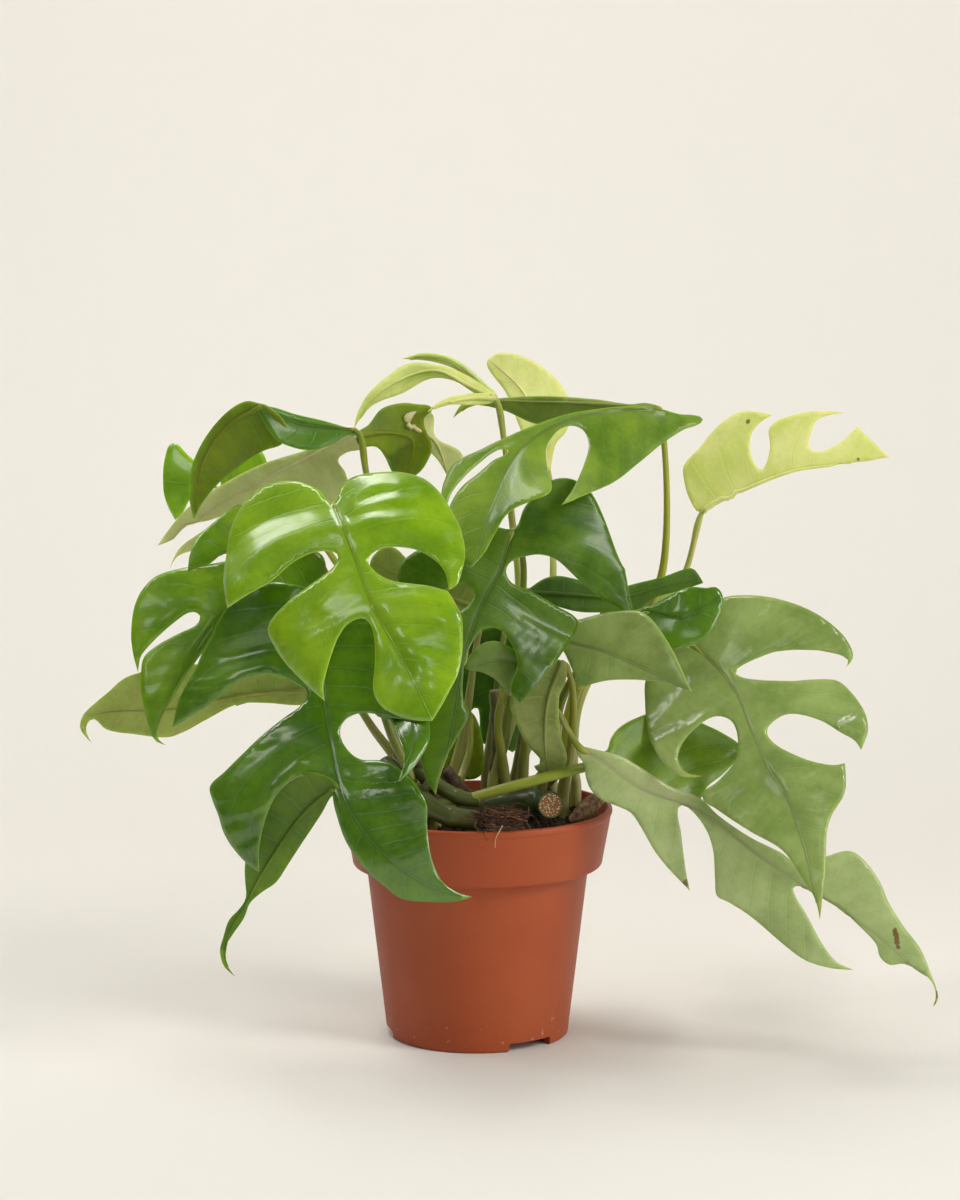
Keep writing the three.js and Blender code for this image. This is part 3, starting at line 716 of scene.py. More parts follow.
def leaf_skin_group() -> bpy.types.NodeTree:
    """The blade's skin, built once: mottled green, side veins, midrib, margin and underside, with
    painted shade in and beside the midrib's furrow, and a pale margin line that is partly painted
    highlight.

    Returns:
        A group that gives Color, Roughness, Height in mm and Gloss, which is 1 on the upper side.
    """
    name = "leaf_skin"
    if name in bpy.data.node_groups:
        return bpy.data.node_groups[name]
    group = SkinGroup(name, ("Deep", "Light", "Vein", "Margin", "Under", "Under Deep"),
                      ("Veining", "Roughness", "Relief"), ("Roughness", "Height", "Gloss"))
    w, put = group.wiring, group.put
    spread = w.node("ShaderNodeSeparateXYZ", {0: w.attribute("leaf", "Vector")})
    along, across, rim = (Signal(w, socket) for socket in spread.outputs)
    side = w.attribute("side")
    off = abs(across)

    # The side veins: a line wherever the count lies halfway between two whole numbers.
    fine = w.grain(2.4)
    wander = (w.grain(7, 2) - 0.5) * 0.16
    count = w.attribute("vein") + wander
    near = abs(w.math("FRACT", count) - 0.5)
    open_blade = w.step(off, 0.6, 3.0) * w.step(rim, 0.6, 3.5)
    line = w.fade(near, 0.012, 0.07) * open_blade
    swell = w.math("COSINE", count * (2 * math.pi))
    pleats = w.math("COSINE", (count + wander * 2.0) * (10 * math.pi))

    # The midrib, with painted shade in its furrow.
    on_blade = w.step(along, -1.0, 1.5)
    groove_shade = w.fade(off, 0.2, 1.5) * on_blade
    on_rib = w.fade(off, 0.08, 0.34) * on_blade

    mottle = w.step(w.grain(22, 4) + fine * 0.25, 0.36, 0.86)
    tone = w.math("ADD", mottle, swell * 0.08, clamp=True)
    top = w.blend(tone, put["Deep"], put["Light"])
    # Painted shade: the blade darker in the dip beside the midrib, and darker still in its furrow.
    top = w.blend(w.fade(off, 1.0, 9.0) * 0.3, top, put["Deep"])
    top = w.blend(groove_shade * 0.55, top, put["Deep"])
    top = w.blend(line * put["Veining"], top, put["Vein"])
    top = w.blend(on_rib * (put["Veining"] + 0.1), top, put["Vein"])
    below = w.blend(tone, put["Under Deep"], put["Under"])
    below = w.blend(line * 0.3, below, put["Vein"])
    # A pale line along the margin: partly the leaf's own pale edge, partly painted highlight where
    # the edge catches the light.
    margin = w.fade(rim, 0.1, 0.42) * 0.5

    relief = pleats * 0.007 * open_blade + fine * 0.06 + w.grain(0.55, 1) * 0.05
    return group.give(
        Color=w.blend(margin, w.blend(side, below, top), put["Margin"]),
        Roughness=put["Roughness"] + (mottle - 0.5) * 0.10 + (1.0 - side) * 0.16,
        Height=(relief + on_rib * 0.12 - line * 0.06) * put["Relief"],
        Gloss=side)


def stalk_skin_group() -> bpy.types.NodeTree:
    """The stalk's skin, built once: long fine streaks, paler towards the soil.

    Returns:
        A group that gives Color, Roughness and Height in mm.
    """
    name = "stalk_skin"
    if name in bpy.data.node_groups:
        return bpy.data.node_groups[name]
    group = SkinGroup(name, ("Skin", "Streak", "Foot"), ("Roughness",))
    w, put = group.wiring, group.put
    spread = w.node("ShaderNodeSeparateXYZ", {0: w.attribute("leaf", "Vector")})
    along, turn, to_foot = (Signal(w, socket) for socket in spread.outputs)
    round_it = w.read("ShaderNodeCombineXYZ", 0, {
        0: along * 0.05, 1: w.math("SINE", turn) * 2.2, 2: w.math("COSINE", turn) * 2.2})
    lines = w.read("ShaderNodeTexNoise", 0, {"Vector": round_it, "Scale": 1.6, "Detail": 4})
    streak = w.step(lines, 0.42, 0.7)
    skin = w.blend(streak, put["Skin"], put["Streak"])
    return group.give(
        Color=w.blend(w.fade(to_foot, 16, 60) * 0.7, skin, put["Foot"]),
        Roughness=put["Roughness"] + streak * 0.1,
        Height=lines * 0.12)


def fresh_material(name: str) -> tuple[bpy.types.Material, Wiring, bpy.types.Node]:
    """Starts a material.

    Args:
        name: Its name.

    Returns:
        The material, its wiring and its Principled shader.
    """
    material = bpy.data.materials.new(name)
    material.use_nodes = True
    tree = material.node_tree
    return material, Wiring(tree), tree.nodes["Principled BSDF"]


@dataclass(frozen=True)
class Mark:
    """A brown mark on a leaf: its place in the picture, its depth and its radius in mm."""

    at: Pair
    depth: float
    radius: float

    def mask(self, w: Wiring) -> Signal:
        """Where the mark shows, with a ragged edge.

        Args:
            w: The material's wiring.

        Returns:
            Near one on the mark and nought off it.
        """
        x, _, z = sight(np.array([self.at]), np.array([self.depth]))[0] * MM
        flat = w.read("ShaderNodeVectorMath", 0, {0: w.place(), 1: (1, 0, 1)},
                      operation="MULTIPLY")
        gap = w.read("ShaderNodeVectorMath", "Value", {0: flat, 1: (x, 0, z)},
                     operation="DISTANCE")
        radius = self.radius * MM
        return w.step(gap + (w.grain(1.2) - 0.5) * radius, 0.6 * radius, 1.1 * radius, (0.9, 0))


@dataclass(frozen=True)
class StalkFinish:
    """How a stalk or vine looks. Colours are as seen on a screen, 0 to 255."""

    skin: Rgb
    streak: Rgb
    foot: Rgb
    roughness: float = 0.42

    def made(self, name: str) -> bpy.types.Material:
        """The material.

        Args:
            name: Its name.

        Returns:
            The material.
        """
        material, w, shader = fresh_material(name)
        skin = w.node("ShaderNodeGroup", node_tree=stalk_skin_group())
        w.feed(skin, {"Skin": srgb(*self.skin), "Streak": srgb(*self.streak),
                      "Foot": srgb(*self.foot), "Roughness": self.roughness})
        w.feed(shader, {
            "Base Color": skin.outputs["Color"], "Roughness": skin.outputs["Roughness"],
            "Normal": w.raised(skin.outputs["Height"]), "Coat Weight": 0.15,
            "Subsurface Weight": 0.1, "Subsurface Scale": 1.5 * MM})
        return material


@dataclass(frozen=True)
class LeafFinish:
    """How one kind of leaf looks. Colours are as seen on a screen, 0 to 255."""

    deep: Rgb
    light: Rgb
    vein: Rgb
    # margin is the colour of the pale margin line, partly painted edge highlight.
    margin: Rgb
    under: Rgb
    under_deep: Rgb
    stalk: Rgb
    slot: str
    veining: float
    roughness: float
    coat: float
    relief: float = 1.0
    glow: float = 0.35

    def blade(self, name: str, marks: Sequence[Mark] = ()) -> bpy.types.Material:
        """The blade's material.

        Args:
            name: The material's name.
            marks: The brown marks on this leaf.

        Returns:
            The material, made once for each name.
        """
        if name in bpy.data.materials:
            return bpy.data.materials[name]
        material, w, shader = fresh_material(name)
        skin = w.node("ShaderNodeGroup", node_tree=leaf_skin_group())
        w.feed(skin, {
            "Deep": srgb(*self.deep), "Light": srgb(*self.light), "Vein": srgb(*self.vein),
            "Margin": srgb(*self.margin), "Under": srgb(*self.under),
            "Under Deep": srgb(*self.under_deep), "Veining": self.veining,
            "Roughness": self.roughness, "Relief": self.relief})
        tone = skin.outputs["Color"]
        for mark in marks:
            tone = w.blend(mark.mask(w), tone, srgb(*BROWN_MARK))
        w.feed(shader, {
            "Base Color": tone, "Roughness": skin.outputs["Roughness"],
            "Normal": w.raised(skin.outputs["Height"]),
            "Coat Weight": Signal(w, skin.outputs["Gloss"]) * self.coat, "Coat Roughness": 0.16,
            "Specular IOR Level": 0.35, "Subsurface Weight": self.glow,
            "Subsurface Radius": (0.5, 1.0, 0.15), "Subsurface Scale": 2 * MM})
        return material

    def stem(self, name: str) -> bpy.types.Material:
        """The stalk's material.

        Args:
            name: The material's name.

        Returns:
            The material, made once for each name.
        """
        if name in bpy.data.materials:
            return bpy.data.materials[name]
        streak = tuple(own + more for own, more in zip(self.stalk, STALK_STREAK))
        return StalkFinish(self.stalk, streak, STALK_FOOT).made(name)


class Finish(Enum):
    """The kinds of leaf on this plant."""

    LIME = LeafFinish(
        (102, 140, 4), (138, 172, 12), (150, 186, 40), (166, 186, 56), (150, 180, 40),
        (120, 156, 18), (126, 150, 30), "leaf_lime", 0.1, 0.34, 0.9, 1.2, 0.45)
    GREEN = LeafFinish(
        (80, 117, 2), (120, 152, 12), (112, 148, 60), (126, 152, 34), (132, 144, 60),
        (104, 120, 36), (108, 130, 18), "leaf_green", 0.1, 0.36, 0.5)
    DARK = LeafFinish(
        (54, 91, 5), (89, 126, 13), (104, 136, 76), (104, 134, 28), (98, 124, 24), (70, 98, 14),
        (98, 118, 18), "leaf_dark", 0.2, 0.32, 0.9)
    NIGHT = LeafFinish(
        (30, 62, 2), (60, 102, 8), (84, 112, 46), (104, 130, 40), (76, 104, 12), (50, 76, 4),
        (80, 102, 12), "leaf_dark", 0.1, 0.4, 0.35)
    # Partly the leaves' own grey-green, partly painted silvery sheen: the grey and blue stand in
    # for their gloss.
    SAGE = LeafFinish(
        (112, 131, 62), (146, 161, 92), (136, 160, 92), (146, 160, 76), (136, 148, 72),
        (108, 126, 48), (120, 140, 36), "leaf_sage", 0.15, 0.4, 0.5)
    PALE = LeafFinish(
        (180, 190, 84), (200, 206, 108), (200, 206, 120), (206, 208, 110), (214, 212, 144),
        (192, 194, 108), (160, 172, 84), "leaf_pale", 0.15, 0.5, 0.1, glow=0.6)
    # Partly the leaves' own pale green, partly painted light: brightened to stand in for light
    # shining through them from behind.
    SPRING = LeafFinish(
        (160, 172, 80), (186, 194, 112), (192, 198, 124), (192, 196, 112), (206, 207, 136),
        (178, 186, 94), (148, 166, 66), "leaf_pale", 0.3, 0.44, 0.2, glow=0.6)
    OLIVE = LeafFinish(
        (58, 96, 4), (82, 118, 12), (112, 136, 46), (120, 140, 36), (118, 130, 0), (90, 104, 0),
        (118, 138, 26), "leaf_olive", 0.12, 0.4, 0.2, glow=0.45)
    FERN = LeafFinish(
        (50, 80, 2), (84, 114, 8), (96, 124, 50), (122, 142, 44), (132, 144, 60), (104, 120, 36),
        (104, 124, 14), "leaf_green", 0.12, 0.42, 0.22)
    SATIN = LeafFinish(
        (80, 110, 14), (118, 144, 32), (120, 146, 64), (142, 160, 60), (132, 142, 66),
        (104, 118, 42), (136, 148, 28), "leaf_green", 0.12, 0.44, 0.22)
    MOSS = LeafFinish(
        (82, 104, 36), (112, 132, 62), (116, 138, 74), (140, 154, 70), (120, 130, 62),
        (92, 106, 40), (110, 128, 26), "leaf_sage", 0.15, 0.42, 0.3)
    # A sage leaf paled and greyed as painted silvery sheen.
    SHEEN_SAGE = LeafFinish(
        (142, 156, 98), (174, 184, 128), (160, 174, 118), (160, 170, 96), (150, 160, 98),
        (124, 138, 72), (122, 138, 40), "leaf_sage", 0.15, 0.42, 0.35)
    WAN = LeafFinish(
        (170, 172, 108), (196, 194, 136), (200, 198, 146), (196, 192, 140), (204, 200, 150),
        (180, 178, 118), (150, 158, 84), "leaf_pale_underside", 0.25, 0.5, 0.1, glow=0.45)
    FADED = LeafFinish(
        (110, 122, 58), (140, 148, 84), (150, 154, 98), (158, 162, 90), (138, 144, 84),
        (102, 112, 50), (118, 130, 34), "leaf_pale_underside", 0.25, 0.5, 0.1, glow=0.4)
    BEIGE = LeafFinish(
        (138, 146, 66), (160, 164, 92), (178, 178, 112), (176, 178, 96), (170, 172, 98),
        (138, 142, 66), (140, 152, 72), "leaf_pale_underside", 0.2, 0.5, 0.1, glow=0.45)


# ------------ the leaves' plan


class Side(Enum):
    """Which side of a blade the picture shows."""

    TOP = 1
    UNDER = -1


@dataclass(frozen=True)
class Fold:
    """A long swelling in a blade, or a dip: its crest in pixels, its rise and half width in mm."""

    crest: str
    rise: float
    width: float


@dataclass(frozen=True)
class BladePlan:
    """One blade as traced: its midrib in pixels with its depth in mm, and its edge in pixels.

    A ! marks a pointed tip. lean is how far each side of the midrib goes back for each mm across,
    and droop how far it has curved back 50 mm out, first on the left of the way to the tip. A
    blade has the leaf's own finish where it names none.
    """

    rib: str
    edge: str
    lean: Pair = (0, 0)
    droop: Pair = (0, 0)
    shows: Side = Side.TOP
    finish: Finish | None = None
    folds: tuple[Fold, ...] = ()


@dataclass(frozen=True)
class LeafPlan:
    """One leaf: its root in the soil in mm, its stalk from the blade down, and its blades."""

    name: str
    finish: Finish
    root: Pair
    stalk: str
    blades: tuple[BladePlan, ...]
    marks: tuple[Mark, ...] = ()


LEAVES: tuple[LeafPlan, ...] = (
    LeafPlan(
        "lime_front", Finish.LIME, (-13, -12),
        "333,503,-79 343,520,-64 356,560,-44 374,612,-31 405,690,-24",
        (BladePlan(
            "333,502,-80 348,539,-92 371,603,-108 409,672,-120 432,720,-126",
            """333,502 318,489 294,481 265,485 242,505 229,532 225,560 224,585 227,608! 245,597
            271,581 292,563 309,554 326,551 337,554 337,562 325,574 303,590 285,604 268,627 275,648
            289,667 306,684 325,701! 324,688 327,672 333,650 341,632 352,621 365,619 373,632
            375,660 373,690 380,705 396,715 414,720 432,721! 441,707 450,690 458,674 462,656
            463,636 461,615 448,591! 430,586 405,583 390,580 376,572 368,560 376,551 390,547
            414,549 431,557 444,570 449,590! 458,583 462,571 465,556 464,542 459,525 450,508
            438,490 423,478 400,472 379,472 355,476 341,486""",
            (0, 0.05), (9, 9),
            folds=(Fold("238,584 262,553 292,538 324,530", 1.6, 6),
                   Fold("232,548 262,520 300,508", -0.8, 5),
                   Fold("346,531 372,522 408,522 438,533", 1.7, 6.5),
                   Fold("356,510 385,501 415,500", 0.8, 3),
                   Fold("352,498 372,487 400,485", 0.8, 3),
                   Fold("352,520 380,511 412,509", -0.5, 2.5),
                   Fold("388,608 420,606 446,620", 1.5, 7),
                   Fold("378,616 394,642 410,672", -0.9, 3),
                   Fold("322,606 336,590 350,577", 0.8, 3.5),
                   Fold("405,640 425,665 430,690", 1.0, 8),
                   Fold("300,640 310,660 318,680", 1.0, 8))),),
    ),
    LeafPlan(
        "left_mid", Finish.GREEN, (-32, -14),
        "309,550,-15 330,580,-14 365,650,-16 395,715,-16 415,770,-15",
        (BladePlan(
            "310,550,-16 262,574,-23 215,622,-34 172,690,-42 152,738,-46",
            """310,549 296,545 270,550 240,558 205,565 182,568 156,576 142,590 134,608 131,635
            133,654 138,672! 139,663 142,654 160,635 184,615 193,612 200,616 196,625 180,633
            158,645 144,657 141,672 141,690 144,708 150,732 157,742 166,745! 159,740 157,732
            162,715 172,700 184,679 197,660 209,644 221,622 235,607 280,598 312,590 322,578 326,566
            322,555""",
            (-0.1, 0.1), (6, 10),
            folds=(Fold("150,628 180,600 225,585", 1.0, 6),
                   Fold("160,700 190,655 225,615", 1.2, 7))),
         BladePlan(
            "300,549,-17 250,545,-20 188,568,-27",
            """306,553 290,530 265,512 241,504 219,518 200,535 190,554 188,572! 198,571 211,563
            228,552 250,560 285,562""",
            (0, 0.2), (4, 6))),
    ),
    LeafPlan(
        "left_low", Finish.DARK, (-29, -29),
        "322,652,-61 336,640,-52 366,668,-42 392,735,-36 412,785,-33",
        (BladePlan(
            """318,590,-58 322,650,-61 323,690,-68 331,745,-80 347,805,-90 385,855,-97 430,886,-99
            472,897,-97""",
            """322,648 312,630 318,604 305,588 290,584 270,583 244,594 224,612 212,636 198,663
            186,685 179,700 172,728! 182,722 197,713 213,702 238,682 263,674 280,676 297,684
            307,693 301,705 285,717 261,736 241,755 224,772 210,786 212,800 218,816 223,832 232,847
            246,863 259,872! 259,850 263,828 272,803 285,786 300,777 315,776 329,784 335,810
            346,842 366,870 383,885 402,899 425,902 455,902 472,897! 457,892 443,882 435,868
            430,850 427,824 427,805 417,786 406,774 393,764 378,760 360,759 347,749 340,733 345,720
            360,713 377,714 400,719 425,720 438,700 440,672 428,645 405,625 378,612 352,615
            335,630""",
            (0.05, 0), (-12, 9),
            folds=(Fold("212,648 246,632 286,606", 1.5, 8),
                   Fold("200,672 240,655 290,644", -0.8, 5),
                   Fold("190,706 224,682 268,664", 1.2, 5),
                   Fold("254,812 272,785 296,760", 1.3, 4.5),
                   Fold("230,800 248,770 275,745", -0.6, 5),
                   Fold("352,800 385,792 415,800", 1.1, 8),
                   Fold("352,778 372,776 395,783", -0.5, 3), Fold("390,860 420,850", 1.0, 8))),
         BladePlan(
            "380,690,-72 410,712,-78 414,740,-91 398,781,-104",
            """372,695 375,714 391,722 397,733 404,750 404,764 398,782! 411,771 421,757 429,742
            430,728 426,708 410,692 390,686"""),
         BladePlan(
            "334,788,-87 305,812,-78 265,868,-72 246,904,-69 227,940,-66 235,975,-64",
            """340,790 331,797 322,813 302,843 287,866 276,882 262,892 250,903 244,918 233,934
            226,946 226,962 235,976! 224,966 220,950 223,938 229,920 240,908 246,897 245,880
            245,864 250,840 262,806 282,782 305,772 330,778""",
            (0.1, -0.1), (6, 6), shows=Side.UNDER)),
    ),
    LeafPlan(
        "left_far", Finish.BEIGE, (-42, 2),
        "314,690,2 345,694,2 374,730,2 402,775,4",
        (BladePlan(
            "314,690,2 250,694,-8 170,710,-18 110,712,-26 88,717,-28",
            """316,692 300,680 280,676 240,668 200,664 165,666 138,673 123,679 108,692 96,702
            83,715 80,727 84,735 92,743! 87,734 87,724 94,719 106,729 134,734 167,737 185,731
            205,720 238,704 270,703 299,705 312,701""",
            (0.35, -0.3), (5, 0), shows=Side.UNDER),),
    ),
    LeafPlan(
        "top_left_arch", Finish.OLIVE, (-26, 12),
        "358,431,-14 366,472,-13 384,560,-8 418,690,2 438,770,8",
        (BladePlan(
            "357,431,-14 300,424,-20 258,409,-26",
            """359,431 345,427 325,421 299,415 258,406 263,420 276,439 295,448 314,450 330,445
            346,436""",
            (-0.7, 0.5)),
         BladePlan(
            "262,406,-25 228,426,-22 204,460,-12 194,519,2",
            """268,406 258,403 246,401 228,411 209,432 195,457 189,482 190,503 194,519! 202,503
            219,483 242,464 263,451 284,442 286,424""",
            (0.3, -0.2), shows=Side.UNDER),
         BladePlan(
            "357,431,-13 320,452,6 270,477,28 210,512,50 165,552,68",
            """362,436 340,438 300,452 262,464 230,480 195,502 176,520 158,545! 173,539 184,526
            205,521 235,516 215,524 195,536 178,550 169,571! 178,556 200,549 235,538 275,520
            320,512 348,492 345,472 338,460 348,452 362,448""",
            (0.2, -0.2), shows=Side.UNDER, finish=Finish.WAN),
         BladePlan(
            "358,436,-12 385,432,-3 412,440,8 407,475,22",
            """356,434 368,425 381,409 401,403 416,404 432,408 424,418 425,428 432,446 427,462
            417,474 404,477 393,472 386,459 376,447 360,446""",
            (0, 0.2), shows=Side.UNDER),
         BladePlan(
            "406,424,3 434,440,16 448,474,28",
            "404,416 426,411 433,415 435,436 463,456 447,476! 438,460 424,446 412,430",
            shows=Side.UNDER, finish=Finish.WAN)),
    ),
    LeafPlan(
        "back_left", Finish.LIME, (-22, 34),
        "274,494,74 320,540,62 380,640,46 425,740,36",
        (BladePlan(
            "274,494,74 235,490,84 200,486,90 170,482,94",
            """276,496 271,478 262,452 246,446 225,452 203,464 190,457 173,443 165,457 163,488
            167,505 175,520! 183,512 190,499 208,485 220,481 216,492 203,504 193,514 194,522!
            223,515 255,506""",
            (-0.2, 0.2), (4, 4)),),
    ),
    LeafPlan(
        "top_arch", Finish.SPRING, (7, 23),
        "495,398,20 504,440,26 512,520,26 519,580,24 516,700,20",
        (BladePlan(
            "495,398,20 470,387,23 438,371,30 407,377,33 375,397,30 354,428,26",
            """498,398 491,391 478,382 462,373 438,365 407,364 383,380 366,397 357,415 354,429!
            360,419 373,405 401,394 430,379 454,381 474,393 488,400""",
            (-0.8, 0.8), shows=Side.UNDER),
         BladePlan(
            "492,394,22 470,377,40 446,361,50 403,358,60",
            "496,396 487,385 471,370 448,356 422,353 402,359! 428,361 450,367 470,379 484,395",
            (0.4, 0)),
         BladePlan(
            "495,398,20 465,399,11 428,410,-3",
            "497,395 480,393 454,396 440,401 427,412! 450,405 475,405 494,402",
            (-0.5, 0.3), shows=Side.UNDER)),
    ),
    LeafPlan(
        "top_back", Finish.PALE, (17, 31),
        "548,470,56 552,520,48 553,580,40 545,700,34",
        (BladePlan(
            "548,470,56 540,430,66 522,390,80 490,360,92",
            """548,472 530,450 516,418 506,393 488,368 488,360 500,353 525,357 552,375 569,398
            572,414 566,432 556,444 552,460""",
            (0.1, 0.1), (4, 4), shows=Side.UNDER),),
    ),
    LeafPlan(
        "top_ridge", Finish.SATIN, (38, 3),
        "657,411,13 664,442,14 661,577,18 634,628,14 590,664,8 569,715,4 566,775,2",
        (BladePlan(
            "657,410,12 610,411,4 560,423,-14 520,451,-34 495,500,-56 473,566,-74",
            """657,408 680,414 695,415 703,419 697,425 685,429 663,443 640,462 616,481 595,491
            561,504! 573,489 584,463 589,445 585,432 575,426 562,428 553,436 546,449 548,470
            551,490 530,501 511,512 495,534 485,552 472,567! 460,560 450,544 446,524 450,505
            462,486 477,474 492,461 509,450 498,450 478,464 462,479 451,494 445,512! 441,498
            444,481 454,463 483,448 520,431 564,415 605,408 635,406""",
            (-0.9, 0.2), (3, 6),
            folds=(Fold("482,520 500,478 516,446", -1.0, 3),
                   Fold("500,515 515,480 530,450", 1.2, 6),
                   Fold("600,470 625,440 640,420", 1.0, 8))),
         BladePlan(
            "655,408,13 600,404,24 540,402,32 480,403,36 454,419,34",
            """662,410 648,403 630,404 593,399 538,396 480,400 463,403 453,418! 462,411 474,405
            503,410 538,424 560,419 600,411 640,410""",
            (0.5, 0), shows=Side.UNDER)),
    ),
    LeafPlan(
        "center", Finish.FERN, (6, -15),
        "513,531,-35 523,560,-29 518,640,-22 504,740,-17",
        (BladePlan(
            "513,530,-36 499,572,-43 483,601,-49 470,635,-56 462,670,-62 450,740,-72 436,793,-77",
            """514,528 524,508 536,492 552,480 572,479 590,491 604,518 614,550 624,578 630,605
            631,622! 618,610 600,597 582,583 560,564 546,557 530,556 511,562 506,572 512,583
            530,591 555,605 577,619 576,630 558,658 536,686 520,704! 511,694 511,683 517,665
            512,647 502,632 491,627 480,632 468,652 463,678 464,702 469,714 460,733 447,756 440,775
            436,795! 427,780 421,757 426,735 420,705 408,680 404,655 414,632 436,618 460,611
            471,602 475,592 462,585 440,591 412,592 398,580 402,562 425,546 455,534 490,526""",
            (0, 0), (7, 6),
            folds=(Fold("545,560 580,548 615,572", 3.2, 10),
                   Fold("560,570 590,560 620,590", -0.5, 5),
                   Fold("500,640 520,665 525,690", 1.2, 7),
                   Fold("622,620 590,655 545,695", 3.0, 11))),),
    ),
    LeafPlan(
        "center_back", Finish.BEIGE, (-13, -5),
        "480,608,-14 474,660,-8 462,740,-6",
        (BladePlan(
            "480,608,-14 430,590,-17 372,562,-22",
            """482,610 476,588 455,572 432,560 412,562 395,548 382,548 370,562 374,578 395,604
            430,622 460,622""",
            (-0.3, 0.3), shows=Side.UNDER),),
    ),
    LeafPlan(
        "mid_dark", Finish.NIGHT, (16, 1),
        "526,592,-8 528,640,-6 522,740,-2",
        (BladePlan(
            "526,592,-8 570,594,-6 620,597,-2 665,586,2 703,580,6",
            """526,594 534,585 546,578 560,576 585,582 606,592 630,585 662,577 691,568 698,574
            703,583! 680,591 655,598 640,609 610,612 580,612 556,606""",
            (0.3, -0.4), shows=Side.UNDER),),
    ),
    LeafPlan(
        "right_fold", Finish.DARK, (24, 0),
        "645,613,-26 622,640,-20 584,664,-12 560,705,-3 552,760,-1",
        (BladePlan(
            "645,612,-26 682,618,-33 720,598,-30",
            """640,612 655,603 674,593 690,587 707,588 716,587 723,597 718,620 704,639 676,650
            660,651 650,635""",
            (0.4, -0.3), (0, 4)),),
    ),
    LeafPlan(
        "right_mid", Finish.SAGE, (20, -13),
        "556,638,-36 547,665,-34 530,710,-30 524,760,-18",
        (BladePlan(
            "556,638,-36 575,644,-40 600,650,-47 640,667,-60 691,691,-74",
            """556,636 566,625 580,619 611,612 638,611 650,618 664,636 674,653 684,675 692,692!
            672,684 641,680 612,680 592,684 578,690! 574,675 566,656""",
            (0.05, -0.2), (4, 0)),),
    ),
    LeafPlan(
        "right_large", Finish.SAGE, (-18, -36),
        """692,646,-23 668,690,-8 632,742,-6 600,762,-32 574,770,-41 540,779,-44 500,790,-43
        468,799,-41""",
        (BladePlan(
            """692,645,-24 715,666,-32 737,694,-40 750,727,-48 767,766,-58 785,794,-65 805,850,-76
            820,919,-84""",
            """690,645 700,628 708,611 722,598 750,595 783,600 815,613 838,630 850,646 853,658
            846,667! 848,660 832,653 804,650 776,652 754,660 737,669 736,674 750,679 790,681
            835,680 850,691 864,711 868,730 861,750! 855,741 841,733 819,720 793,714 777,719
            767,731 774,743 793,754 815,762 834,765 845,763! 846,785 843,797 832,815 827,832
            826,860 824,885 820,920! 815,899 804,881 783,851 750,831 718,810 702,796 718,781
            733,764 738,748 733,723 717,716 700,724 684,741 678,757 684,771 702,776! 684,777
            668,768 655,751 648,729 645,703 646,678 660,655 676,644""",
            (0, -0.1), (5, 0),
            folds=(Fold("655,745 672,712 700,690", 1.4, 8),
                   Fold("760,650 800,630 840,645", 1.0, 8),
                   Fold("770,700 815,700 850,720", 1.0, 8),
                   Fold("760,780 790,815 815,870", -0.8, 5), Fold("790,790 825,790", 1.0, 8))),),
    ),
    LeafPlan(
        "right_low", Finish.SHEEN_SAGE, (28, -9),
        "580,748,-50 568,730,-41 558,713,-30 549,712,-20 546,740,-14 544,775,-11",
        (BladePlan(
            """580,748,-50 600,760,-50 640,788,-48 702,812,-46 759,855,-48 806,886,-52 850,915,-56
            900,955,-60 934,1004,-62""",
            """578,747 577,754 584,764 586,778 591,790 602,800 617,806 631,813 642,829 654,850
            668,868 690,891! 686,872 681,834 678,808 686,806 704,826 713,850 715,880 717,896
            728,902 750,916 783,944 805,960 830,968 854,970! 837,962 822,943 808,917 793,889
            800,886 814,894 837,906 858,925 876,944 880,957 890,965 904,964 924,974 933,984 936,996
            933,1007! 938,1000 937,990 931,974 920,948 904,927 889,903 880,882 865,861 850,851
            827,856 800,864 780,852 750,837 718,815 700,798 670,786 645,770 620,756 598,750""",
            (0.1, -0.1), (4, 5),
            folds=(Fold("700,815 745,845 795,878", 1.2, 5),
                   Fold("600,775 640,800 670,840", 0.9, 7),
                   Fold("735,870 780,905 820,945", 1.0, 8),
                   Fold("835,870 865,895 895,935", 1.0, 6))),
         BladePlan(
            "592,754,-50 640,784,-48 704,812,-46",
            """588,752 600,752 607,750 611,738 620,727 636,718 655,712 680,713 702,723 725,734
            741,747 736,760 722,775 708,786 698,800 675,796 640,780 612,764""",
            (0.9, 0), (-6, 0), finish=Finish.SATIN)),
        (Mark((895, 931), -60, 1.3), Mark((896, 935), -60, 1.4), Mark((896.5, 939), -60, 1.4),
         Mark((897, 943), -60, 1.3), Mark((898, 947), -60, 1.1), Mark((934, 1006), -62, 2.6),
         Mark((937, 995), -62, 2.0), Mark((688, 887), -56, 2.0)),
    ),
    LeafPlan(
        "right_pale", Finish.PALE, (44, 13),
        "703,511,22 686,570,26 655,630,24 600,664,18 578,705,14 573,765,12",
        (BladePlan(
            "703,511,22 728,497,20 772,478,16 826,465,14 889,457,16",
            """700,512 690,500 684,480 684,466 700,447 713,431 728,418 744,411 772,415! 760,423
            752,433 750,448 756,466 763,469 770,448 770,427 793,415 825,411 844,413! 819,419
            811,433 809,447 817,452 838,444 857,427! 870,439 889,457! 858,462 826,466 793,471
            750,487 722,502""",
            (0.4, 0), shows=Side.UNDER),),
        (Mark((749, 423), 18, 1.1), Mark((858, 459), 15, 0.8), Mark((753, 437), 18, 0.6)),
    ),
    LeafPlan(
        "low_fold", Finish.FADED, (38, -14),
        "563,664,-42 572,685,-32 572,740,-24",
        (BladePlan(
            "563,662,-43 548,700,-45 545,740,-42 548,775,-38",
            """557,659 565,664 566,680 559,697 561,735 567,760 558,774 546,776 534,766 542,763
            526,743 515,720 510,700 526,682 545,667""",
            shows=Side.UNDER),),
    ),
    LeafPlan(
        "low_sage", Finish.MOSS, (13, -14),
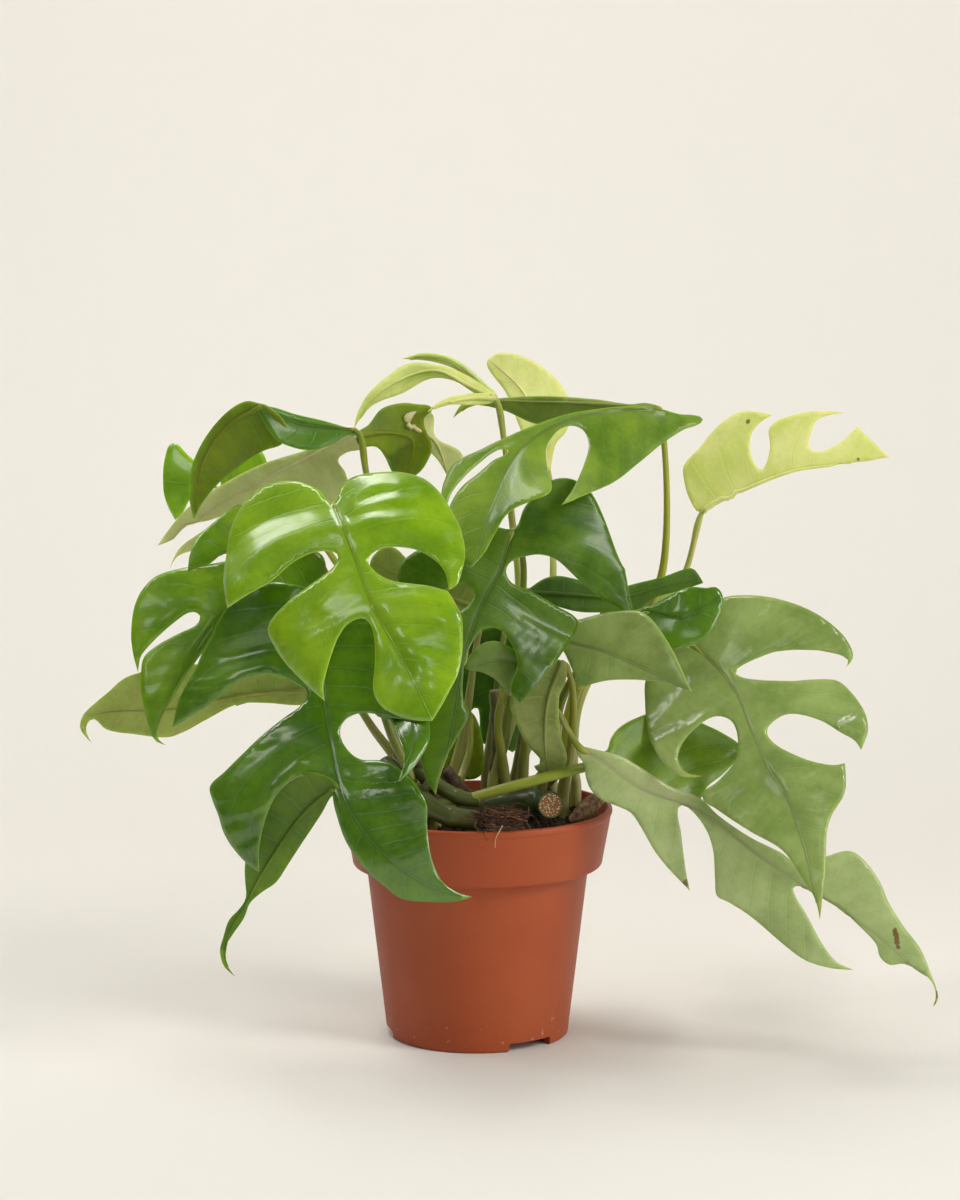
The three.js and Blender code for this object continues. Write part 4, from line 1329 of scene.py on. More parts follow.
        "518,668,-50 506,686,-44 498,720,-33 504,770,-20",
        (BladePlan(
            "522,664,-50 495,660,-52 467,668,-54",
            """520,656 508,646 495,641 480,645 467,660 466,669 480,672 492,677 502,686 509,696
            516,688""",
            (-0.1, 0)),),
    ),
    LeafPlan(
        "low_back", Finish.OLIVE, (-10, 8),
        "470,717,24 470,745,19 462,775,13",
        (BladePlan(
            "470,716,24 464,745,22 450,772,20",
            "468,712 480,728 484,760 480,776 462,779 444,767 452,742",
            shows=Side.UNDER),),
    ),
    LeafPlan(
        "back_center", Finish.NIGHT, (4, 40),
        "505,632,42 500,660,37 494,720,38",
        (BladePlan(
            "505,630,42 497,690,54 500,750,60",
            """505,626 478,630 452,648 440,680 450,716 466,738 470,712 478,708 482,742 496,744
            512,752! 524,742 520,716 528,712 548,690 553,655 530,632""",
            (0.2, 0.2), (6, 6), shows=Side.UNDER),),
    ),
    LeafPlan(
        "back_low_left", Finish.NIGHT, (-12, 45),
        "425,601,46 440,640,44 448,720,46",
        (BladePlan(
            "425,600,46 380,620,66 310,655,100 250,700,122",
            """426,594 400,588 360,598 335,606 345,622 335,630 300,618 262,635 240,665 236,706!
            262,698 285,690 300,672 310,680 306,704 340,702 368,700 378,670 388,676 386,706 420,702
            442,670 444,630""",
            (0.7, 0.3), (6, 6), shows=Side.UNDER),),
    ),
    LeafPlan(
        "back_low_right", Finish.GREEN, (34, 34),
        "610,605,40 598,640,38 572,720,36",
        (BladePlan(
            "610,604,40 650,615,66 700,640,100 728,680,122",
            """606,600 638,592 672,592 676,606 688,608 692,598 718,616 733,640 736,668 728,692!
            712,684 690,676 684,656 674,656 664,680 635,676 612,660 600,630""",
            (0.4, 0.7), (6, 6), shows=Side.UNDER),),
    ),
)


# ------------ the pieces


def smooth_outline(text: str, step: float) -> np.ndarray:
    """A smooth closed outline through traced corners, sharp only at those marked with !.

    Args:
        text: The corners in pixels.
        step: The space between its points in pixels.

    Returns:
        Rows of pixel places.
    """
    corners = numbers(text)
    sharp = [word.endswith("!") for word in text.split()]
    count = len(corners)

    def handle(i: int, way: int) -> np.ndarray:
        """The handle at a corner.

        Args:
            i: The corner's number.
            way: 1 for the handle onwards and -1 for the one back.

        Returns:
            How far it reaches in x and y.
        """
        if sharp[i]:
            return np.zeros(2)
        before, after = corners[i - 1], corners[(i + 1) % count]
        reach = np.linalg.norm((after if way > 0 else before) - corners[i])
        chord = after - before
        return way * chord / np.linalg.norm(chord) * reach / 3

    rows = []
    for i in range(count):
        j = (i + 1) % count
        start, end = corners[i], corners[j]
        parts = max(1, round(float(np.linalg.norm(end - start)) / step))
        t = (np.arange(parts) / parts)[:, None]
        a, b = start + handle(i, 1), end + handle(j, -1)
        rows.append((1 - t) ** 3 * start + 3 * (1 - t) ** 2 * t * a
                    + 3 * (1 - t) * t ** 2 * b + t ** 3 * end)
    return np.vstack(rows)


def to_outline(points: np.ndarray, outline: np.ndarray) -> tuple[np.ndarray, np.ndarray]:
    """Where points lie by a closed outline.

    Args:
        points: Rows of pixel places.
        outline: Rows of the outline's pixel places.

    Returns:
        How far each point is from it, and whether it lies inside it.
    """
    start, end = outline, np.roll(outline, -1, axis=0)
    span = end - start
    away = points[:, None, :] - start[None, :, :]
    t = np.clip((away * span).sum(2) / np.maximum((span ** 2).sum(1), TINY), 0, 1)
    gap = np.linalg.norm(away - t[..., None] * span, axis=2).min(1)
    level = (start[:, 1] > points[:, 1:2]) != (end[:, 1] > points[:, 1:2])
    rise = np.where(span[:, 1] == 0, TINY, span[:, 1])
    cross = start[:, 0] + (points[:, 1:2] - start[:, 1]) * span[:, 0] / rise
    inside = (level & (points[:, 0:1] < cross)).sum(1) % 2 == 1
    return gap, inside


def rooted(text: str, root: Pair, above: np.ndarray | None = None) -> np.ndarray:
    """The course of a stalk down into its hole in the soil.

    Args:
        text: Its traced points, each with pixel x, pixel y and depth in mm.
        root: Where it stands in the soil, in mm.
        above: A first point, where the text doesn't give it.

    Returns:
        Rows of points in mm.
    """
    rows = numbers(text) if above is None else np.vstack([above, numbers(text)])
    feet = [(*root, SOIL_TOP + rise) for rise in (STALK_RISE, STALK_RISE / 2, -STALK_SINK)]
    return np.vstack([sight(rows[:, :2], rows[:, 2]), feet])


ROW_HEIGHT = 0.866  # of even triangles, for each mm of their side
RIB_BAND = (0, 0.7, -0.7, 1.6, -1.6)  # mm from the midrib, where a blade has rows of points
RIB_CLEAR = 2.5  # mm from the midrib, where the even triangles begin


@dataclass
class Blade:
    """One blade of a leaf, from its plan. Sizes are in mm.

    crease is how softly the two sides meet at the midrib, and vein_space how far apart the side
    veins are. The rest are how deep or high each part of the relief is.
    """

    plan: BladePlan
    seed: float
    step: float = 1.7
    thickness: float = 0.5
    crease: float = 3.0
    vein_space: float = 8.5
    quilting: float = 0.1
    waviness: float = 0.4
    channel: float = 0.5
    swelling: float = 0.5
    curl: float = 0.18

    def rib(self) -> np.ndarray:
        """The midrib as 41 rows of pixel x, pixel y and depth."""
        return through(numbers(self.plan.rib), np.linspace(0, 1, 41))

    def survey(self, points: np.ndarray) -> tuple[np.ndarray, np.ndarray, np.ndarray]:
        """Where points lie on the blade.

        Args:
            points: Rows of pixel places.

        Returns:
            The depth of each, its length along the midrib, and its signed distance from it.
        """
        rib = self.rib()
        start, span = rib[:-1, :2], np.diff(rib[:, :2], axis=0)
        away = points[:, None, :] - start[None, :, :]
        t = (away * span).sum(2) / (span ** 2).sum(1)
        low, high = np.zeros(len(span)), np.ones(len(span))
        low[0], high[-1] = -np.inf, np.inf
        t = np.clip(t, low, high)
        gap = np.linalg.norm(away - t[..., None] * span, axis=2)
        best = gap.argmin(1)
        row = np.arange(len(points))
        side = away[row, best, 0] * span[best, 1] - away[row, best, 1] * span[best, 0] > 0
        t, across = t[row, best], gap[row, best] * PIXEL
        depth = rib[best, 2] + t * (rib[best + 1, 2] - rib[best, 2])
        bent = np.hypot(across, self.crease) - self.crease
        lean, droop = (np.where(side, *pair) for pair in (self.plan.lean, self.plan.droop))
        run = lengths(rib[:, :2]) * PIXEL
        along = run[best] + t * (run[best + 1] - run[best])
        return (depth + lean * bent + droop * (across / 50) ** 2, along,
                np.where(side, -across, across))

    def fill(self) -> tuple[np.ndarray, np.ndarray, np.ndarray]:
        """Fills the outline with even triangles.

        Returns:
            Rows of pixel places, rows of three corner numbers, and the outline itself.
        """
        step = self.step / PIXEL
        outline = smooth_outline(self.plan.edge, step)
        low, high = outline.min(0), outline.max(0)
        grid = []
        for k, y in enumerate(np.arange(low[1], high[1], step * ROW_HEIGHT)):
            row = np.arange(low[0] + (k % 2) * step / 2, high[0], step)
            grid.append(np.stack([row, np.full(len(row), y)], axis=1))
        rib = even(self.rib()[:, :2], 60)
        way = np.gradient(rib, axis=0)
        way /= np.linalg.norm(way, axis=1, keepdims=True)
        normal = way[:, ::-1] * [1, -1]
        band = [rib + normal * offset / PIXEL for offset in RIB_BAND]
        grid = np.vstack(grid)
        inner = np.vstack([*band, grid[nearest(grid, rib)[0] > RIB_CLEAR / PIXEL]])
        gap, inside = to_outline(inner, outline)
        inner = inner[inside & (gap > 0.55 * step)]
        every = [Vector(p) for p in np.vstack([outline, inner]).tolist()]
        places, _, faces, *_ = delaunay_2d_cdt(every, [], [list(range(len(outline)))], 1, 1e-4)
        return np.array([tuple(p) for p in places]), np.array(faces), outline

    def relief(self, pixels: np.ndarray, places: np.ndarray, leaf: np.ndarray,
               vein: np.ndarray) -> np.ndarray:
        """How far the surface stands out towards the upper side.

        Args:
            pixels: The blade's points in pixels.
            places: The same points in mm.
            leaf: How far each lies along the midrib, across it and from the margin, in mm.
            vein: The vein count of each.

        Returns:
            The rise of each point in mm.
        """
        along, across, rim = leaf.T
        # The quilting between side veins that wander, here stronger and there weaker.
        bent = vein + 0.4 * ripple(places, 26, self.seed + 2)
        open_blade = ease(np.abs(across), 1, 7) * ease(rim, 0.5, 6)
        rise = self.quilting * np.cos(2 * math.pi * bent) * open_blade
        rise *= 0.9 + 1.4 * ripple(places, 22, self.seed + 9)
        # Waves at the margin, and slow swellings inside it.
        rise += self.waviness * ripple(places, 14, self.seed) * np.exp(-rim / 9)
        rise += self.swelling * ripple(places, 30, self.seed + 5) * ease(rim, 0, 8)
        # The sunk midrib, shallower towards the tip, and the margin turned down.
        taper = np.clip(1 - along / (1.15 * max(float(along.max()), 1.0)), 0.25, 1)
        rise -= self.channel * taper * hump(across, 0, 0.9) * ease(along, -1.5, 1.5)
        rise -= self.curl * np.exp(-rim / 1.2)
        for fold in self.plan.folds:
            gap = nearest(pixels, even(numbers(fold.crest), 30))[0] * PIXEL
            rise += fold.rise * hump(gap, 0, fold.width)
        return rise

    def add_to(self, body: Sculpt, slot: int) -> None:
        """Adds the blade, closed all round, and the raised midrib on its underside.

        Args:
            body: The leaf's mesh under way.
            slot: The blade's material slot.
        """
        pixels, faces, outline = self.fill()
        depth, along, across = self.survey(pixels)
        leaf = np.stack([along, across, to_outline(pixels, outline)[0] * PIXEL], axis=1)
        middle = sight(pixels, depth)
        corners = middle[faces]
        facing = np.cross(corners[:, 1] - corners[:, 0], corners[:, 2] - corners[:, 0])
        flip = (facing * (EYE - corners[:, 0])).sum(1) * self.plan.shows.value < 0
        faces[flip] = faces[flip][:, ::-1]
        normal = normals_of(middle, faces)

        # The side veins run out from the midrib, the more forwards the nearer the tip.
        off = np.abs(across)
        share = np.clip(along / max(float(along.max()), 1.0), 0, 1)
        vein = (along - (1.15 * share - 0.25) * off - 0.004 * off ** 2) / self.vein_space + 0.5

        # Two skins with a strip between them round the border, thinner towards the margin.
        middle = middle + normal * self.relief(pixels, middle, leaf, vein)[:, None]
        half = self.thickness / 2 * (0.3 + 0.7 * ease(leaf[:, 2:], 0, 1.6))
        total = len(middle)
        triangles = faces.tolist()
        edges = dict.fromkeys(
            edge for a, b, c in triangles for edge in ((a, b), (b, c), (c, a)))
        closed = triangles + [(a + total, c + total, b + total) for a, b, c in triangles]
        closed += [(b, a, a + total, b + total) for a, b in edges if (b, a) not in edges]
        body.add(np.vstack([middle + normal * half, middle - normal * half]), closed, slot,
                 np.vstack([leaf, leaf]), np.tile(vein, 2), np.repeat([1.0, 0.0], total))

        # The midrib stands out under the blade.
        rib = even(self.rib()[:, :2], 36)[:-2]
        at = nearest(rib, pixels)[1]
        radii = np.linspace(1.15, 0.25, len(rib))
        path = middle[at] - normal[at] * (radii[:, None] * 0.7)
        body.rod(even(path, len(rib)), radii, 8, slot, 0.0, (5.0, 0.4, 5.0))


@dataclass
class Leaf(Piece):
    """A leaf: its blades on their stalk, which stands in its hole in the soil. Sizes in mm."""

    plan: LeafPlan
    seed: int
    stalk_radius: float = 2.15
    stalk_sides: int = 14
    stalk_steps: int = 70

    def finishes(self) -> list[Finish]:
        """The finishes of the blades, each once."""
        return list(dict.fromkeys(plan.finish or self.plan.finish for plan in self.plan.blades))

    def build(self) -> None:
        """Builds the leaf's mesh: the blades, and the stalk from under the first one's base."""
        body = Sculpt()
        finishes = self.finishes()
        for number, plan in enumerate(self.plan.blades):
            slot = finishes.index(plan.finish or self.plan.finish)
            Blade(plan, self.seed + 0.37 * number).add_to(body, slot)
        base = Blade(self.plan.blades[0], 0).rib()[3] + [0, 0, self.stalk_radius - 0.9]
        path = even(rooted(self.plan.stalk, self.plan.root, base), self.stalk_steps)
        share = np.linspace(0, 1, len(path))
        # Thin at the top with a knuckle below the blade, and thicker towards the foot.
        thick = 0.62 + 0.5 * ease(share, 0.1, 0.75) + 0.15 * ease(share, 0.75, 1)
        radii = self.stalk_radius * (thick + 0.12 * hump(share, 0.07, 0.03))
        radii *= 0.6 + 0.4 * ease(share, 0, 0.05)
        body.rod(path, radii, self.stalk_sides, len(finishes))
        self.piece = body.make(self.plan.name)

    def dress(self) -> None:
        """Gives the leaf its materials, and puts it in the place of its plain solid."""
        plan = self.plan
        for kind in self.finishes():
            name = f"blade_{kind.name.lower()}" + (f"_{plan.name}" if plan.marks else "")
            self.wear(kind.value.blade(name, plan.marks))
        self.wear(plan.finish.value.stem(f"stalk_{plan.finish.name.lower()}"))
        self.fit(plan.finish.value.slot, f"leaf_{plan.name}")


@dataclass(frozen=True)
class PotPlastic:
    """Satin moulded plastic, terracotta coloured, a little scuffed and dusty at the foot."""

    color: Rgb = (156, 70, 34)
    worn: Rgb = (172, 90, 52)
    dust: Rgb = (206, 170, 140)
    roughness: float = 0.5
    dusty_to: float = 0.020

    def made(self) -> bpy.types.Material:
        """The material.

        Returns:
            The pot's plastic.
        """
        material, w, shader = fresh_material("pot_plastic")
        scratch = w.grain(9, 2, (1.0, 1.0, 0.06))
        tone = w.blend(w.step(w.grain(34), 0.35, 0.75), srgb(*self.color), srgb(*self.worn))
        tone = w.blend(0.72, tone, srgb(*self.color))
        height = w.read("ShaderNodeSeparateXYZ", 2, {0: w.place()})
        scuff = w.step(w.grain(3.4, 6), 0.665, 0.70) * w.fade(height, 0.002, self.dusty_to)
        w.feed(shader, {
            "Base Color": w.blend(scuff * 0.6, tone, srgb(*self.dust)),
            "Roughness": self.roughness + (scratch - 0.5) * 0.14,
            "Normal": w.raised(w.grain(0.5, 2) * 0.02 + scratch * 0.03, 0.6),
            "Specular IOR Level": 0.32})
        return material


@dataclass
class Pot(Piece):
    """The nursery pot: a tapered body, a tall collar and notches in the foot. Sizes in mm."""

    rim_radius: float = 60.0
    height: float = 103.0
    collar: float = 26.0
    collar_foot_radius: float = 55.5
    body_top_radius: float = 49.5
    foot_radius: float = 40.4
    wall: float = 1.3
    bevel: float = 0.8
    rim_band: float = 2.6
    shoulder: float = 2.0
    foot_height: float = 4.5
    foot_ring: float = 5.0
    pad_radius: float = 14.0
    notch: Pair = (22.5, 4.0)
    notch_angles: tuple[float, ...] = (-54.0, 66.0, 186.0)

    def radius(self, z: float) -> float:
        """The outer radius.

        Args:
            z: A height.

        Returns:
            The body's radius there, or above its foot the collar's.
        """
        foot = self.height - self.collar
        if z < foot:
            return self.foot_radius + (self.body_top_radius - self.foot_radius) * z / foot
        return (self.collar_foot_radius
                + (self.rim_radius - self.collar_foot_radius) * (z - foot) / self.collar)

    def profile(self) -> list[Pair]:
        """The wall's section.

        Returns:
            Radius and height, from the middle of the base round the rim to the inner floor.
        """
        wall, bevel, rim, top = self.wall, self.bevel, self.rim_radius, self.height
        foot, collar = top - self.collar, self.collar_foot_radius
        floor = self.foot_height + wall
        ring = self.foot_radius - self.foot_ring
        waist, shoulder = self.body_top_radius, foot - self.shoulder
        band = top - self.rim_band - bevel
        return [
            (1, 0), (self.pad_radius, 0), (self.pad_radius + bevel, self.foot_height),
            (ring, self.foot_height), (ring, 0), (self.foot_radius - bevel, 0),
            (self.radius(bevel), bevel), (self.radius(shoulder), shoulder),
            (waist + bevel, foot - bevel / 2), (collar - bevel, foot), (collar, foot + bevel),
            (self.radius(band), band), (rim, top - self.rim_band), (rim, top - bevel),
            (rim - bevel, top), (rim - wall - bevel, top),
            (collar - wall, foot + self.shoulder + wall), (waist - wall + bevel, foot + wall),
            (waist - wall, shoulder), (self.radius(floor + bevel) - wall, floor + bevel),
            (self.radius(floor) - wall - bevel, floor), (1, floor),
        ]

    def build(self) -> None:
        """Builds the shell, rounds its edges and cuts the notches."""
        self.piece = turned("nursery_pot", self.profile(), 144)
        refine(self.piece, "BEVEL", width=0.45 * MM, segments=3, limit_method="ANGLE",
               angle_limit=math.radians(14))
        width, height = self.notch
        reach = (self.foot_radius - self.foot_ring / 2) * MM
        for turn in map(math.radians, self.notch_angles):
            deselect()
            bpy.ops.mesh.primitive_cube_add(size=1)
            cutter = bpy.context.object
            cutter.scale = (3 * self.foot_ring * MM, width * MM, 2 * height * MM)
            cutter.rotation_euler = (0, 0, turn)
            cutter.location = (reach * math.cos(turn), reach * math.sin(turn), 0)
            settle(cutter, "notch_cutter")
            refine(cutter, "BEVEL", width=0.9 * MM, segments=3)
            refine(self.piece, "BOOLEAN", operation="DIFFERENCE", object=cutter, solver="EXACT")
            bpy.data.objects.remove(cutter)
        shade_smooth(self.piece, 32)

    def dress(self) -> None:
        """Gives the pot its plastic."""
        self.piece.data.materials.clear()
        self.wear(PotPlastic().made())
        self.fit("pot", "pot")


@dataclass(frozen=True)
class EarthFinish:
    """Rough crumbly matter: potting mix, bark or root fibre. blotch is its grain in mm."""

    name: str
    dark: Rgb
    light: Rgb
    blotch: float
    relief: float

    def made(self) -> bpy.types.Material:
        """The material.

        Returns:
            The material, under the finish's own name.
        """
        material, w, shader = fresh_material(self.name)
        clod = w.grain(self.blotch, 4)
        fine = w.grain(self.blotch / 5)
        tone = w.step(clod * 0.6 + fine * 0.4, 0.36, 0.66)
        w.feed(shader, {
            "Base Color": w.blend(tone, srgb(*self.dark), srgb(*self.light)),
            "Roughness": w.step(fine, 0.2, 0.8, (0.75, 0.98)),
            "Normal": w.raised((clod * 0.9 + fine * 0.35) * self.relief)})
        return material


@dataclass
class Soil(Piece):
    """The potting mix: a low crumbly dome with crumbs and bark chips."""

    pot: Pot
    gap: float = 0.5
    edge: float = 95.0
    dome: float = 2.0
    reach: float = 55.0
    crumbs: int = 900
    chips: int = 70

    def surface(self, radius: float) -> float:
        """The height of the bed, without its heaps.

        Args:
            radius: How far out from the pot's axis.

        Returns:
            The height there.
        """
        stops = ((0, SOIL_TOP + self.dome), (18, SOIL_TOP + self.dome * 0.8), (39.6, SOIL_TOP),
                 (50.4, 99.0), (56.4, self.edge))
        return float(np.interp(radius, *zip(*stops)))

    @staticmethod
    def heaps(places: np.ndarray) -> np.ndarray:
        """The rise of the bed's low heaps at some places in mm."""
        return 1.5 * ripple(places, 9, 3.0)

    def build(self) -> None:
        """Builds the bed with its crumbs."""
        pot, foot = self.pot, self.pot.height - self.pot.collar
        floor = pot.foot_height + pot.wall + 0.3
        thick = pot.wall + self.gap
        inside = [(1, floor), (pot.radius(floor) - pot.wall - 2.1, floor),
                  (pot.radius(floor + 2) - thick, floor + 2),
                  (pot.radius(foot - 2) - thick, foot - 2),
                  (pot.body_top_radius - thick, foot + pot.wall + 0.3),
                  (pot.collar_foot_radius - thick, foot + 4.1),
                  (pot.radius(self.edge) - thick - 0.8, self.edge)]
        top = [(r, self.surface(r)) for r in np.arange(self.reach + 0.5, 1, -1.5)]
        self.piece = turned("potting_mix", inside + top, 128)
        places = np.array([v.co for v in self.piece.data.vertices]) / MM
        bed = (places[:, 2] > self.edge + 0.2) & (np.hypot(*places[:, :2].T) < self.reach)
        places[:, 2] += np.where(bed, self.heaps(places) + 0.8 * ripple(places, 3.5, 8.0), 0)
        self.piece.data.vertices.foreach_set("co", (places * MM).astype(np.float32).ravel())
        shade_smooth(self.piece)
        self.wear(EarthFinish("potting_mix", (26, 18, 12), (74, 54, 38), 2.6, 1.2).made())
        rng = random.Random(11)
        grains = (
            self.scatter(rng, self.crumbs, (0.5, 1.5), (1, 1, 0.8),
                         EarthFinish("soil_crumb", (30, 21, 14), (88, 66, 46), 1.4, 0.5)),
            self.scatter(rng, self.chips, (1.5, 3.2), (1.5, 0.8, 0.35),
                         EarthFinish("bark_chip", (62, 42, 28), (142, 110, 80), 1.8, 0.6)))
        take(self.piece)
        for part in grains:
            part.select_set(True)
        bpy.ops.object.join()

    def scatter(self, rng: random.Random, count: int, size: Pair, squash: Place,
                finish: EarthFinish) -> bpy.types.Object:
        """Strews copies of one rough grain over the bed.

        Args:
            rng: The seeded source of chance.
            count: How many.
            size: Smallest and largest radius in mm.
            squash: The grain's scale on its own three axes.
            finish: How the grains look.

        Returns:
            All the grains as one object.
        """
        shape, faces = pebble(1)
        shape, faces = shape * squash, np.array(faces)
        tilt = (0, 6.3) if squash[2] > 0.5 else (-0.4, 0.4)  # flat chips lie nearly level
        points, corners = [], []
        for number in range(count):
            reach, turn = self.reach * math.sqrt(rng.random()), rng.uniform(0, 2 * math.pi)
            scale = rng.uniform(*size)
            spin = Euler([rng.uniform(*tilt), rng.uniform(-0.4, 0.4),
                          rng.uniform(0, 6.3)]).to_matrix()
            rough = np.array([1 + rng.uniform(-0.25, 0.25) for _ in shape])[:, None]
            at = np.array([reach * math.cos(turn), reach * math.sin(turn), self.surface(reach)])
            at[2] += 0.2 + self.heaps(at[None])[0]
            points.append(shape * rough @ np.array(spin).T * scale + at)
            corners.append(faces + number * len(shape))
        mesh = bpy.data.meshes.new(finish.name)
        mesh.from_pydata((np.vstack(points) * MM).tolist(), [], np.vstack(corners).tolist())
        mesh.materials.append(finish.made())
        piece = placed(finish.name, mesh)
        shade_smooth(piece, 50)
        return piece

    def dress(self) -> None:
        """Puts the mix in the place of its plain solid."""
        self.fit("soil", "soil")


@dataclass(frozen=True)
class VinePlan:
    """A short vine: its traced centre line, foot and radius in mm, and its skin."""

    name: str
    path: str
    root: Pair
    radius: float
    skin: Rgb
    streak: Rgb


VINES = (
    VinePlan("vine_left", "414,757,-32 428,778,-30", (-19, -26), 3.4, (46, 40, 24), (84, 66, 42)),
    VinePlan("vine_inner", "446,769,-24 456,784,-21", (-5, -15.5), 3.0, (52, 44, 26),
             (92, 70, 46)),
    VinePlan("vine_middle", "496,690,-4 499,740,-5", (8, -5), 3.6, (96, 98, 44), (128, 110, 66)),
    VinePlan("vine_right", "558,742,8 556,770,8", (30, 9), 3.2, (92, 104, 48), (130, 118, 70)),
)


@dataclass
class Vine(Piece):
    """A short vine with its leaf scars."""

    plan: VinePlan

    def build(self) -> None:
        """Builds the vine, a little thicker at its three scars."""
        path = even(rooted(self.plan.path, self.plan.root), 60)
        run = np.linspace(0, 1, 60)
        knots = sum(hump(run, at, 0.035) for at in (0.18, 0.5, 0.8))
        radii = self.plan.radius * (0.84 + 0.1 * ease(run, 0, 0.06) + 0.2 * knots)
        body = Sculpt()
        body.rod(path, radii * (0.96 + 0.04 * np.sin(run * 40)), 18, 0)
        self.piece = body.make(f"{self.plan.name}_stem")

    def dress(self) -> None:
        """Gives the vine its skin and its place."""
        finish = StalkFinish(self.plan.skin, self.plan.streak, (92, 70, 46), 0.55)
        self.wear(finish.made(f"{self.plan.name}_skin"))
        self.fit("vine", self.plan.name)


@dataclass
class Runners(Piece):
    """The old green runners on the soil at the front left, with the stub of a lost stalk."""

    paths: tuple[tuple[str, float], ...] = (
        ("384,764,-28 412,792,-41 444,814,-48 478,821,-50", 5.0),
        ("398,752,-24 430,780,-35 462,798,-41 480,800,-41", 3.6),
        ("424,790,-43 432,778,-48 436,768,-52", 2.2),
    )

    def build(self) -> None:
        """Builds the runners, each a little thicker at two scars."""
        body = Sculpt()
        run = np.linspace(0, 1, 50)
        knots = hump(run, 0.42, 0.03) + hump(run, 0.78, 0.03)
        for text, radius in self.paths:
            body.rod(even(traced(text), 50), radius * (0.9 + 0.12 * knots), 20, 0)
        self.piece = body.make("front_runners")

    def dress(self) -> None:
        """Gives the runners their dark green skin."""
        self.wear(StalkFinish((52, 80, 12), (88, 88, 30), (70, 72, 30), 0.4).made("runner_skin"))
        self.fit("vine")


@dataclass
class CutStem(Piece):
    """The thick old stem lying on the soil, with its cut face to the front right."""

    path: str = "551,805,-41 545,803,-33 526,802,-27 495,806,-25 460,811,-25"
    radius: float = 6.1
    bark: float = 0.5
    hollow: float = 0.35
    cell: float = 0.95

    def build(self) -> None:
        """Builds the stem with a slightly hollow cut face."""
        path = even(traced(self.path), 40)
        run = np.linspace(0, 1, 40)
        radii = self.radius * (0.93 + 0.05 * np.sin(run * 23) + 0.07 * hump(run, 0.3, 0.04))
        body = Sculpt()
        body.rod(path, radii, 28, 0)
        self.piece = body.make("old_cut_stem")
        end = Vector(path[0]) * MM
        inwards = -self.hollow * MM * Vector(path[0] - path[1]).normalized()
        with editing(self.piece):
            bpy.ops.mesh.select_all(action="DESELECT")
            mesh = bmesh.from_edit_mesh(self.piece.data)
            for face in mesh.faces:
                face.select = len(face.verts) > 4 and (face.calc_center_median() - end).length < MM
            bmesh.update_edit_mesh(self.piece.data)
            bpy.ops.mesh.inset(thickness=self.bark * MM)
            bpy.ops.mesh.extrude_region_move(TRANSFORM_OT_translate={"value": tuple(inwards)})
            mesh = bmesh.from_edit_mesh(self.piece.data)
            for face in mesh.faces:
                if face.select:
                    face.material_index = 1
            bmesh.update_edit_mesh(self.piece.data)
        shade_smooth(self.piece, 40)

    def dress(self) -> None:
        """Gives the stem its green skin and the tan, dotted cut face."""
        skin = StalkFinish((40, 66, 22), (84, 92, 44), (60, 66, 34), 0.4)
        material, w, shader = fresh_material("cut_face")
        cells = w.read("ShaderNodeTexVoronoi", "Distance",
                       {"Vector": w.place(), "Scale": 1 / MM / self.cell}, feature="F1")
        dots = w.step(cells, 0.16, 0.42)
        tone = w.blend(dots, srgb(238, 218, 178), srgb(126, 90, 54))
        w.feed(shader, {
            "Base Color": w.blend(w.step(w.grain(2.4, 2), 0.6, 0.85), tone, srgb(110, 78, 46)),
            "Roughness": 0.85, "Normal": w.raised(dots * -0.3)})
        self.wear(skin.made("old_stem_skin"), material)
        self.fit("old_stem", "cut_stem")


